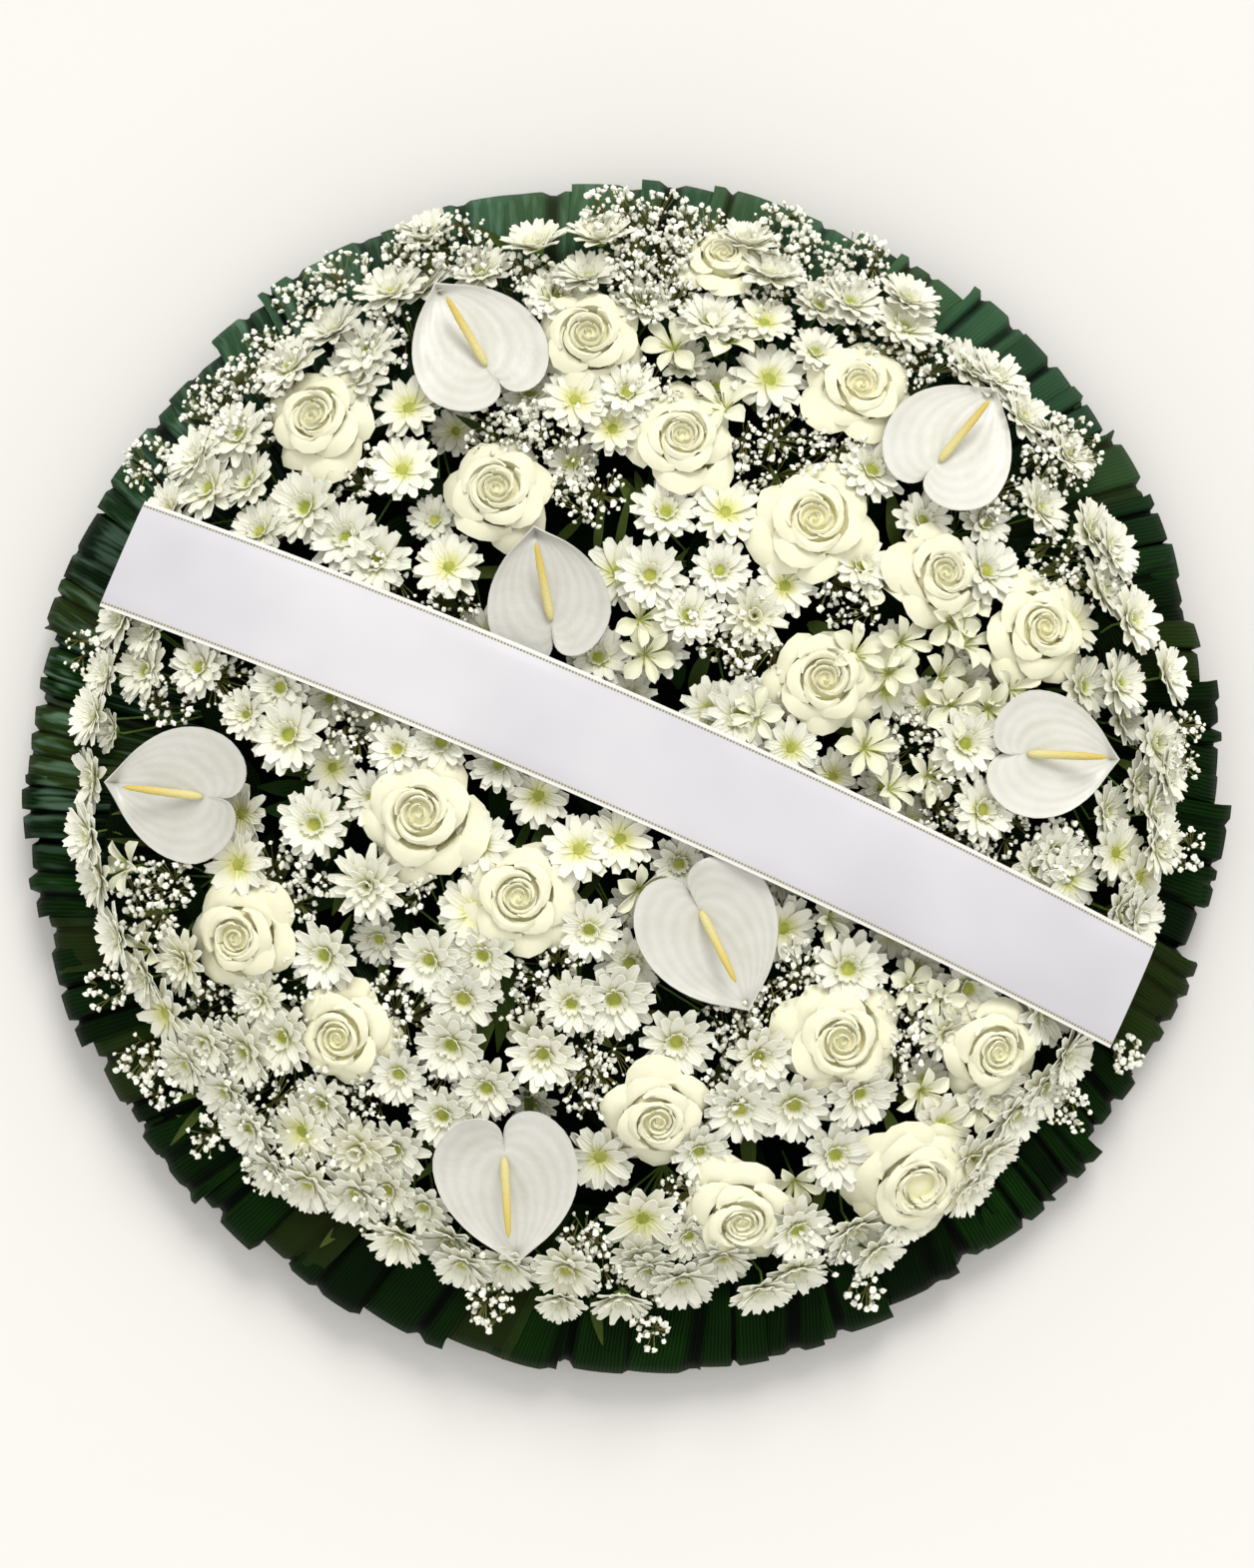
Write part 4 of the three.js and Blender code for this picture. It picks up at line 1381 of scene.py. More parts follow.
@dataclass
class Roses:
    """The roses and the one lisianthus."""

    palette: Palette
    drop: float = -2 * MM
    heavy_lean: float = 0.5
    stem_radius: float = 2.2 * MM
    stem_depth: float = 24 * MM
    growth: float = 1.1

    # Centre and radius of each rose in millimetres, as in the CAD model, with a lean of
    # its own in degrees towards a heading.
    PLACES = (
        (-24, 304, 35, 0, 0), (-210, 246, 36, 8, 150), (161, 268, 35, 6, 60),
        (40, 232, 34, 4, 90), (-86, 195, 35, 6, 90), (129, 175, 38, 4, 90),
        (216, 139, 34, 10, 20), (285, 103, 33, 8, 0), (135, 66, 34, 6, 60),
        (-137, -25, 40, 4, 120), (-262, -109, 36, 8, 180), (-71, -82, 36, 6, 90),
        (-192, -176, 34, 10, 200), (147, -179, 38, 4, 60), (23, -230, 35, 10, -90),
        (81, -299, 35, 14, -90), (254, -186, 34, 6, -30), (68, 360, 26, 10, 90),
    )
    LISIANTHUS = (201, -276, 40)

    def build(self) -> None:
        """Builds one piece for each bloom."""
        blooms = [RoseHead(seed).build() for seed in (5, 6, 7, 8)]
        tube = Bench.tube(6, 3)
        chance = Random(4)
        for number, (x, y, radius, tip, heading) in enumerate(self.PLACES, 1):
            form = blooms[number % len(blooms)]
            self.bloom(
                f"rose_bloom_{number:02d}", (x, y, radius), form, tube, chance,
                f"rose_{number:02d}", (tip, heading),
            )
        ruffled = RoseHead(21, petals=26, opening=0.22, ruffle=0.035).build()
        self.bloom(
            "lisianthus_bloom", self.LISIANTHUS, ruffled, tube, chance, "lisianthus", (4, -60)
        )

    def bloom(
        self, name: str, place: tuple, form: Form, tube: Form, chance: Random,
        node: str, tip: tuple[float, float],
    ) -> None:
        """Builds one bloom on its stem.

        Args:
            name: The piece's name.
            place: Its centre and radius in millimetres.
            form: The modelled bloom.
            tube: Upright tube for its stem.
            chance: Seeded chance.
            node: CAD node that it replaces.
            tip: Lean of its own in degrees and the heading of that lean.
        """
        x, y, radius = (value * MM for value in place)
        stand = DOME.stand(x, y, self.drop, DOME.lean(x, y) * self.heavy_lean, 0.0)
        axis = Vector((-sin(radians(tip[1])), cos(radians(tip[1])), 0))
        nod = Matrix.Rotation(radians(tip[0]), 4, axis)
        turn = Matrix.Rotation(chance.uniform(0, tau), 4, "Z")
        size = radius * self.growth
        piece = Piece(name, "rose", [self.palette.rose, self.palette.stem])
        matrix = stand @ nod @ turn @ Matrix.Diagonal((size, size, size * 0.92, 1))
        piece.add(form.moved(matrix), chance.random(), chance.uniform(0.1, 0.5))
        back = np.array(stand @ Vector((0, 0, -0.28 * size)))
        foot = DOME.foot(x, y, self.stem_depth)
        piece.add_stem(tube, (foot, (foot + back) / 2, back), self.stem_radius)
        piece.build(node)


# ---- Anthuriums ----------------------------------------------------------------------
@dataclass(frozen=True)
class AnthuriumPlace:
    """Foot of a spadix in millimetres, direction of the tip in degrees, length."""

    x: float
    y: float
    heading: float
    length: float
    side: int
    # How light the spathe is: partly its own colour, partly painted shade for the light in its
    # place.
    tone: float = 0.8

    # Distance from the foot to the middle of the spathe, in lengths.
    MIDDLE = 0.3

    def middle(self) -> tuple[float, float]:
        """Returns the middle of its spathe in millimetres."""
        heading, out = radians(self.heading), self.MIDDLE * self.length
        return self.x + out * cos(heading), self.y + out * sin(heading)


@dataclass
class Anthuriums:
    """The anthuriums: a heart-shaped spathe and a spadix on its stem each."""

    palette: Palette
    sash: "Sash"
    rise: float = 9 * MM
    heavy_lean: float = 0.8
    cup: float = 10 * MM
    thickness: float = 0.9 * MM
    spadix_length: float = 57 * MM
    spadix_radius: float = 3.2 * MM
    spadix_rise: float = 22.0
    stem_radius: float = 3.0 * MM
    stem_depth: float = 24 * MM

    # The last value of each place dims its spathe, partly as painted shade.
    PLACES = (
        AnthuriumPlace(-95, 285, 121, 74, 1, 0.7), AnthuriumPlace(218, 219, 51, 73, -1, 0.9),
        AnthuriumPlace(-291, -13, 172, 75, 1, 0.45), AnthuriumPlace(-50, 107, 100, 67, -1, 0.25),
        AnthuriumPlace(278, 17, -3, 70, 1, 0.85), AnthuriumPlace(-83, -261, -85, 80, -1, 0.75),
        AnthuriumPlace(52, -90, -64, 77, 1, 0.6),
    )
    # Places along a spadix from its foot, and the share of its radius at each.
    SPADIX_WIDTHS = (0, 0.05, 0.15, 0.7, 0.93, 1.0), (0, 0.75, 1.0, 0.86, 0.55, 0)
    # How far a spathe hangs over the flowers round its middle, in lengths.
    OVERHANG = 0.85
    # Half outline from the foot round the lobe to the tip, in lengths from foot to tip.
    OUTLINE = (
        (0.0, 0.0), (-0.13, 0.008), (-0.27, 0.035), (-0.37, 0.12), (-0.41, 0.26), (-0.36, 0.42),
        (-0.19, 0.57), (0.04, 0.635), (0.27, 0.62), (0.47, 0.55), (0.65, 0.43), (0.79, 0.29),
        (0.90, 0.135), (1.0, 0.0),
    )

    def build(self) -> None:
        """Builds the spathe and the spadix of each."""
        tube = Bench.tube(6, 4)
        for number, place in enumerate(self.PLACES, 1):
            self.spathe(number, place)
            self.spike(number, place, tube)

    @classmethod
    def above(cls, x: float, y: float) -> bool:
        """Tells whether a spathe hangs over a place given in millimetres."""
        return any(
            dist((x, y), place.middle()) < cls.OVERHANG * place.length for place in cls.PLACES
        )

    def stand(self, place: AnthuriumPlace) -> Matrix:
        """Returns the matrix that stands a flower on the dome."""
        x, y = place.x * MM, place.y * MM
        lean = DOME.lean(x, y) * self.heavy_lean
        return DOME.stand(x, y, self.rise, lean, radians(place.heading))

    def spathe(self, number: int, place: AnthuriumPlace) -> None:
        """Models the waxy leaf: deep folds run from its foot round to its tip.

        Args:
            number: Number of the flower.
            place: Where it stands.
        """
        length = place.length * MM

        def shape(across: float, along: float) -> Point:
            eased = along**1.15
            edge = spline(self.OUTLINE, eased)
            middle = np.array((eased, 0.0))
            share = abs(across)
            flat = middle * (1 - share) + edge * share
            side = 1.0 if across >= 0 else -1.0
            out_x, out_y = float(flat[0]) * length, float(flat[1]) * length * side
            distance = hypot(flat[0], flat[1])
            lobe = max(-float(flat[0]), 0.0)
            up = self.cup * distance**2 * (0.3 + 0.7 * share**2)
            folds = abs(sin(pi * 3.6 * share**0.8)) ** 0.8 * 0.55 * MM
            swell = 0.7 + 0.45 * sin(5.0 * share + 1.7 * number + 3.0 * side)
            up += folds * swell * sin(pi * min(eased * 1.05, 1.0)) ** 0.7 * (1 - share**6)
            up -= 2.2 * MM * exp(-((share / 0.07) ** 2)) * (1 - eased)
            if side == place.side:
                up += 14 * MM * lobe * share
                out_y -= side * 0.20 * length * lobe * share * (1 - share * 0.3)
            else:
                up -= 5 * MM * lobe * share
            up += 1.6 * MM * sin(7 * eased + 2 * number) * share**4
            up -= 9 * MM * smoothstep(eased, 0.86, 1.0) * (1 - share) * 0.6
            return out_x, out_y, up

        made = Bench.sheet(40, 30, shape, self.thickness).moved(self.stand(place))
        made = made.reshaped(self.sash.kept_under)
        piece = Piece(f"anthurium_{number}_leaf", "spathe", [self.palette.spathe])
        piece.add(made, place.tone)
        piece.build(f"anthurium_{number}_spathe")

    def spike(self, number: int, place: AnthuriumPlace, tube: Form) -> None:
        """Models the pebbled spadix and the stem that carries it.

        Args:
            number: Number of the flower.
            place: Where it stands.
            tube: Upright tube for the stem.
        """
        rise = radians(self.spadix_rise)

        def shape(point: Vector, index: int) -> Vector:
            along = 1 - acos(min(max(point.z, -1.0), 1.0)) / pi
            wide = float(np.interp(along, *self.SPADIX_WIDTHS))
            ring = hypot(point.x, point.y) or 1.0
            pebble = 1.0 + (0.035 if index % 2 else -0.03)
            radius = self.spadix_radius * wide * pebble
            return Vector((
                along * self.spadix_length, radius * point.y / ring, radius * point.x / ring,
            ))

        form = Bench.ball(13, 26, shape)
        bow = Matrix.Rotation(-rise, 4, "Y")
        stand = self.stand(place)
        lifted = stand @ Matrix.Translation((0, 0, 2.5 * MM))
        piece = Piece(
            f"anthurium_{number}_spike", "spadix", [self.palette.spadix, self.palette.stem]
        )
        piece.add(form.moved(lifted @ bow).reshaped(self.sash.kept_under))
        x, y = place.x * MM, place.y * MM
        top = np.array(stand @ Vector((0, 0, -1.5 * MM)))
        foot = DOME.foot(x, y, self.stem_depth)
        piece.add_stem(tube, (foot, (foot + top) / 2, top), self.stem_radius)
        piece.build(f"anthurium_{number}_spadix")


# ---- Alstroemeria --------------------------------------------------------------------
@dataclass
class Alstroemerias:
    """Small six-petalled flowers with a green throat."""

    palette: Palette
    growth: float = 1.12
    lean_spread: float = 0.3
    nod_spread: float = 0.4
    stem_radius: float = 1.0 * MM
    stem_depth: float = 15 * MM

    # Places along a petal from its foot, and the share of its width at each.
    PETAL_WIDTHS = (0, 0.2, 0.5, 0.75, 0.92, 1), (0.16, 0.34, 0.9, 1.0, 0.55, 0.06)
    # Centre and radius of each flower in millimetres.
    PLACES = (
        (191, 94, 20), (226, 50, 22), (166, 20, 22), (92, 42, 20), (210, 2, 20), (176, 134, 20),
        (35, 299, 22), (73, 303, 24), (70, 255, 24), (183, 72, 21), (158, 85, 21),
        (225, 110, 21), (234, 92, 22), (218, 70, 20), (253, 48, 21), (269, 62, 20),
        (10, 109, 20), (14, 85, 20), (-345, -62, 20), (-332, -120, 19), (10, -76, 20),
        (182, -8, 18), (141, -97, 16), (197, -143, 18), (206, -217, 20), (219, -150, 18),
        (-65, -173, 16), (119, -280, 19), (232, -172, 19), (247, -229, 19), (240, 124, 18),
    )

    def petal(self, wide: float, rise: float) -> Form:
        """Models one spoon-shaped petal with a pointed tip."""

        def shape(across: float, along: float) -> Point:
            width = float(np.interp(along, *self.PETAL_WIDTHS))
            up = rise * along - 0.35 * along**2.6 + 0.16 * abs(across) ** 2 * width
            return along * 0.95, wide * width * across, up

        return Bench.sheet(4, 6, shape, 0.02)

    def flower(self, seed: int) -> Form:
        """Models a flower of radius 1 with its throat and stamens."""
        chance = Random(seed)
        broad, narrow = self.petal(0.3, 0.62), self.petal(0.2, 0.78)
        forms = []
        for place in range(6):
            turn = tau * (place + chance.uniform(-0.08, 0.08)) / 6
            petal = (broad, narrow)[place % 2]
            tilt = Matrix.Rotation(chance.uniform(-0.14, 0.14), 4, "Y")
            forms.append(petal.moved(Matrix.Rotation(turn, 4, "Z") @ tilt))
        tube = Bench.tube(4, 1)
        for place in range(5):
            turn = tau * place / 5 + chance.uniform(-0.3, 0.3)
            tip = np.array((0.3 * cos(turn), 0.3 * sin(turn), 0.42))
            forms.append(bent_tube(tube, ((0, 0, 0), tip), 0.022).painted(1))
        return Form.joined(forms)

    def build(self) -> None:
        """Builds all flowers as one piece."""
        palette = self.palette
        finishes = [palette.star, palette.disc, palette.stem]
        piece = Piece("alstroemerias", "alstroemeria", finishes)
        flowers = [self.flower(seed) for seed in (1, 2, 3)]
        tube = Bench.tube(5, 3)
        chance = Random(9)
        for flat_x, flat_y, radius in self.PLACES:
            x, y = flat_x * MM, flat_y * MM
            rise = chance.uniform(-4, 3) * MM
            lean = DOME.lean(x, y) + either_way(chance, self.lean_spread)
            stand = DOME.stand(x, y, rise, lean, chance.uniform(0, tau))
            size = radius * MM * self.growth
            nod = Matrix.Rotation(either_way(chance, self.nod_spread), 4, "X")
            form = chance.choice(flowers).moved(stand @ nod @ Matrix.Scale(size, 4))
            piece.add(form, chance.random(), chance.uniform(0, 0.3))
            foot = DOME.foot(x, y, self.stem_depth, 0.08)
            back = np.array(stand.translation)
            under = np.array(stand @ Vector((0, 0, -self.stem_depth)))
            piece.add_stem(tube, (foot, under, back), self.stem_radius, 2)
        piece.build("alstroemeria_stem_01")


# ---- Gypsophila ----------------------------------------------------------------------
@dataclass
class Gypsophila:
    """Clouds of tiny white blossoms on thin twigs, one piece for each quarter."""

    palette: Palette
    blossom_low: float = 1.0 * MM
    blossom_high: float = 2.9 * MM
    twig_radius: float = 0.42 * MM
    stem_depth: float = 6 * MM
    density: float = 0.13
    crowded: float = 0.16
    crowded_rise: float = 4 * MM

    # Heights of the twigs' forks and of the blossoms over a cloud's middle, in millimetres.
    FORKS = (-22, -8)
    BLOSSOMS = (-6, 11)
    # Centre, radius and rise over the dome of each cloud, in millimetres.
    CLOUDS = (
        (-264, 267, 34, 2), (-336, 222, 20, 0), (-198, 356, 22, 2), (-116, 377, 24, 4),
        (21, 378, 38, 6), (-165, 308, 24, 4), (137, 359, 24, 4), (-49, 242, 24, 2),
        (-87, 235, 24, 2), (-192, 215, 24, 2), (100, 228, 30, 2), (143, 236, 26, 2),
        (17, 270, 24, 3), (-24, 199, 26, 0), (307, 228, 30, 4), (221, 291, 22, 2),
        (-381, 88, 16, 2), (-319, 55, 22, 2), (-279, 69, 22, 2), (-189, 30, 22, 2),
        (155, 123, 24, 0), (72, 95, 22, 0), (51, 116, 20, 0), (92, 75, 24, 0),
        (204, 27, 26, 0), (305, 154, 24, 2), (334, 140, 22, 2), (394, 35, 16, 2),
        (398, 13, 14, 2), (-344, -74, 20, 0), (-318, -74, 20, 0), (-333, -99, 20, 2),
        (-364, -149, 18, 2), (-342, -198, 18, 2), (-325, -216, 18, 2), (-239, -63, 22, 0),
        (-225, -77, 22, 0), (-287, -158, 22, 0), (-219, -154, 22, 0), (-148, -73, 20, 0),
        (-155, -159, 26, 2), (-51, -131, 24, 0), (-65, -159, 22, 0), (-17, -197, 24, 0),
        (72, -166, 22, 2), (79, -183, 20, 2), (114, -131, 24, 0), (194, -160, 24, 2),
        (191, -192, 22, 2), (73, -211, 20, 2), (93, -152, 22, 0), (221, -15, 22, 0),
        (239, -49, 22, 0), (304, -50, 22, 2), (260, -35, 22, 0), (398, -50, 16, 2),
        (-252, -225, 28, 2), (-250, -275, 20, 2), (-95, -371, 18, 4), (-24, -215, 22, 0),
        (-18, -337, 20, 2), (144, -327, 22, 2), (45, -293, 22, 2), (11, -359, 18, 2),
        (169, -361, 14, 4), (18, -389, 14, 4), (314, -234, 16, 4), (354, -195, 14, 4),
        (-68, 246, 18, 4), (-172, 128, 28, 2), (-120, 120, 20, 0), (250, 236, 26, 2),
        (262, 196, 22, 2), (-70, -300, 20, 2), (-30, -320, 20, 0), (60, 26, 20, 0),
        (-72, 340, 30, 4), (20, 350, 34, 6), (52, 378, 26, 6), (-10, 398, 20, 6),
        (112, 384, 24, 4), (166, 366, 22, 4), (-150, 372, 22, 4), (-228, 340, 22, 2),
        (-290, 262, 24, 2), (-250, 296, 24, 2), (100, 335, 18, 3), (176, 302, 24, 3),
        (206, 282, 16, 2), (232, 258, 18, 2), (-200, -210, 20, 2), (-214, -262, 18, 2),
        (-180, -226, 18, 0), (-286, -196, 18, 2), (-130, -205, 18, 0), (-250, -126, 20, 2),
        (-176, -306, 18, 2), (-296, -252, 16, 2), (-100, -318, 18, 2), (-330, -20, 18, 2),
    )

    @staticmethod
    def hidden(x: float, y: float) -> bool:
        """Tells whether a place, in millimetres, lies within a rose or a spathe."""
        blooms = [(a, b, 0.85 * size) for a, b, size, _, _ in Roses.PLACES]
        blooms += [(*place.middle(), 0.62 * place.length) for place in Anthuriums.PLACES]
        return any(hypot(x - a, y - b) < size for a, b, size in blooms)

    def blossom(self) -> Form:
        """Models one crumpled blossom of radius 1 with few faces."""

        def shape(point: Vector, number: int) -> Vector:
            crumple = (1.3, 0.6, 1.0)[number % 3]
            return Vector((point.x * crumple, point.y * crumple * 0.9, point.z * 0.8))

        return Bench.ball(7, 3, shape)

    def build(self) -> None:
        """Builds the clouds, quarter by quarter."""
        blossom = self.blossom()
        twig = Bench.tube(3, 1)
        chance = Random(31)
        quarters = {}
        for name in ("upper_right", "upper_left", "lower_left", "lower_right"):
            finishes = [self.palette.blossom, self.palette.twig]
            quarters[name] = Piece(f"gypsophila_{name}", "gypsophila", finishes)
        for x, y, radius, rise in self.CLOUDS:
            name = ("upper" if y > 0 else "lower") + ("_right" if x > 0 else "_left")
            centre = (x * MM, y * MM)
            self.cloud(quarters[name], centre, radius * MM, rise * MM, blossom, twig, chance)
        for name, piece in quarters.items():
            piece.build(*(("gypsophila_sprig",) if name == "upper_left" else ()))

    def cloud(
        self, piece: Piece, centre: tuple[float, float], radius: float, rise: float,
        blossom: Form, twig: Form, chance: Random,
    ) -> None:
        """Adds one cloud to a piece.

        Args:
            piece: The piece that takes it.
            centre: Its middle.
            radius: Its radius.
            rise: Height over the dome.
            blossom: The modelled blossom.
            twig: Upright tube for the twigs.
            chance: Seeded chance.
        """
        x, y = centre
        root = DOME.foot(x, y, self.stem_depth, 0.05)
        joints = []
        for _ in range(max(4, int(radius / MM / 4))):
            turn = chance.uniform(0, tau)
            out = radius * 0.75 * chance.uniform(0.2, 1.0)
            at_x, at_y = x + out * cos(turn), y + out * sin(turn)
            height = DOME.height(at_x, at_y) + rise + chance.uniform(*self.FORKS) * MM
            joint = np.array((at_x, at_y, height))
            joints.append(joint)
            piece.add_stem(twig, (root, joint), self.twig_radius * 1.5)
        dense = self.crowded if rise >= self.crowded_rise else self.density
        for _ in range(int(dense * (radius / MM) ** 2)):
            off_x, off_y = scattered(chance, radius)
            at_x, at_y = x + off_x, y + off_y
            height = DOME.height(at_x, at_y) + rise + chance.uniform(*self.BLOSSOMS) * MM
            place = np.array((at_x, at_y, height))
            if self.hidden(at_x / MM, at_y / MM):
                continue
            joint = min(joints, key=lambda near: float(np.linalg.norm(near - place)))
            size = chance.uniform(self.blossom_low, self.blossom_high)
            turn = chance.uniform(0, tau)
            axis = Vector((either_way(chance, 1), either_way(chance, 1), 1.0)).normalized()
            turned = Matrix.Rotation(turn, 4, axis)
            matrix = Matrix.Translation(place) @ turned @ Matrix.Scale(size, 4)
            piece.add(blossom.moved(matrix), chance.random())
            piece.add_stem(twig, (joint, place), self.twig_radius)


# ---- Greenery in the gaps ------------------------------------------------------------
@dataclass
class Greenery:
    """Lance-shaped leaves in the gaps, and a bed of dark leaves over the foam."""

    palette: Palette
    bed_leaves: int = 200
    bed_reach: float = 0.375
    loose_leaves: int = 130
    tip_reach: float = 0.385
    tip_depth: float = 12 * MM

    # Shortest and longest, narrowest and widest leaves, in millimetres.
    BED_LENGTHS, BED_WIDTHS = (45, 75), (16, 26)
    LOOSE_LENGTHS, LOOSE_WIDTHS = (26, 46), (5, 9)
    # Foot and tip in millimetres, width, rise over the dome and paleness.
    LEAVES = (
        (-20, 150, -14, 204, 4, -6, 0.3), (-6, 152, 4, 200, 4, -6, 0.25),
        (38, 62, 34, 100, 8, -8, 0.0), (46, 60, 60, 92, 7, -8, 0.1),
        (190, 160, 186, 204, 7, -8, 0.25), (-84, -118, -102, -200, 9, -6, 0.3),
        (-76, -120, -88, -190, 9, -8, 0.1), (-92, -122, -74, -176, 8, -10, 0.0),
        (-50, -28, -66, -64, 9, -6, 0.2), (-218, -22, -252, -22, 9, -10, 0.0),
        (-214, -8, -256, -6, 8, -10, 0.0), (-214, 6, -254, 10, 8, -12, 0.1),
        (86, -240, 88, -284, 7, -8, 0.3), (70, -196, 64, -226, 7, -8, 0.2),
        (182, -230, 198, -268, 6, -2, 0.4), (-352, -96, -312, -92, 4, -4, 0.5),
        (-350, -112, -322, -108, 4, -4, 0.5), (-158, -296, -156, -322, 6, -6, 0.3),
        (-2, -268, 2, -236, 6, -6, 0.3), (-88, 300, -90, 266, 5, -6, 0.5),
        (-4, 212, 10, 178, 4, -6, 0.35), (8, 214, 18, 176, 4, -8, 0.3),
        (-70, 62, -96, 40, 8, -8, 0.1), (128, 108, 150, 96, 7, -8, 0.2),
        (170, 250, 178, 206, 5, -8, 0.2), (58, 286, 52, 250, 6, -6, 0.3),
    )

    def leaf(self, arch: float) -> Form:
        """Models a lance-shaped leaf of length 1 along +X, 1 wide at its widest."""

        def shape(across: float, along: float) -> Point:
            width = sin(pi * min(max(along, 0.02), 0.98) ** 0.8) ** 0.8
            up = arch * sin(pi * along) + 0.06 * abs(across) * width
            return along, 0.5 * across * width, up

        return Bench.sheet(2, 6, shape, 0.012)

    def build(self) -> None:
        """Builds the leaves as one piece."""
        piece = Piece("gap_greenery", "leaf", [self.palette.green])
        leaves = [self.leaf(arch) for arch in (0.05, 0.1, 0.16)]
        chance = Random(17)
        for foot_x, foot_y, tip_x, tip_y, width, rise, pale in self.LEAVES:
            foot = Vector((foot_x, foot_y)) * MM
            tip = Vector((tip_x, tip_y)) * MM
            heights = [DOME.height(*point) + rise * MM for point in (foot, tip)]
            start = Vector((foot.x, foot.y, heights[0] - self.tip_depth))
            along = Vector((tip.x, tip.y, heights[1])) - start
            self.place(piece, chance.choice(leaves), start, along, width * MM * 1.6, 0.6, pale)
        for _ in range(self.bed_leaves):
            x, y = scattered(chance, self.bed_reach)
            start = Vector((x, y, DOME.foam_top(x, y) + chance.uniform(2, 12) * MM))
            heading = chance.uniform(0, tau)
            along = self.run(heading, chance, self.BED_LENGTHS, 0.05)
            end = start + along
            if hypot(end.x, end.y) > self.tip_reach:
                continue
            top = DOME.height(end.x, end.y) - self.tip_depth
            along.z = min(along.z, top - start.z)
            leaf = chance.choice(leaves)
            width = chance.uniform(*self.BED_WIDTHS) * MM
            self.place(piece, leaf, start, along, width, chance.uniform(0, 0.5), 0.0)
        for _ in range(self.loose_leaves):
            x, y = scattered(chance, self.bed_reach)
            start = Vector((x, y, DOME.height(x, y) - chance.uniform(20, 26) * MM))
            heading = atan2(y, x) + either_way(chance, 1.2)
            along = self.run(heading, chance, self.LOOSE_LENGTHS, 0.1)
            leaf = chance.choice(leaves)
            width = chance.uniform(*self.LOOSE_WIDTHS) * MM
            tone = chance.uniform(0.4, 1.0)
            self.place(piece, leaf, start, along, width, tone, chance.uniform(0.1, 0.5))
        piece.build()

    @staticmethod
    def run(heading: float, chance: Random, lengths: tuple, flattest: float) -> Vector:
        """Returns a leaf's run: level heading, chance length in millimetres and climb."""
        length = chance.uniform(*lengths) * MM
        climb = chance.uniform(flattest, 0.35)
        return Vector((cos(heading), sin(heading), climb)) * length

    @staticmethod
    def place(
        piece: Piece, leaf: Form, start: Vector, along: Vector, width: float,
        tone: float, pale: float,
    ) -> None:
        """Adds a leaf from a start point along a direction of its own length."""
        ahead = along.normalized()
        side = Vector((0, 0, 1)).cross(ahead).normalized()
        up = ahead.cross(side)
        turn = Matrix((ahead, side, up)).transposed().to_4x4()
        size = Matrix.Diagonal((along.length, width, along.length * 0.6, 1))
        piece.add(leaf.moved(Matrix.Translation(start) @ turn @ size), tone, pale)


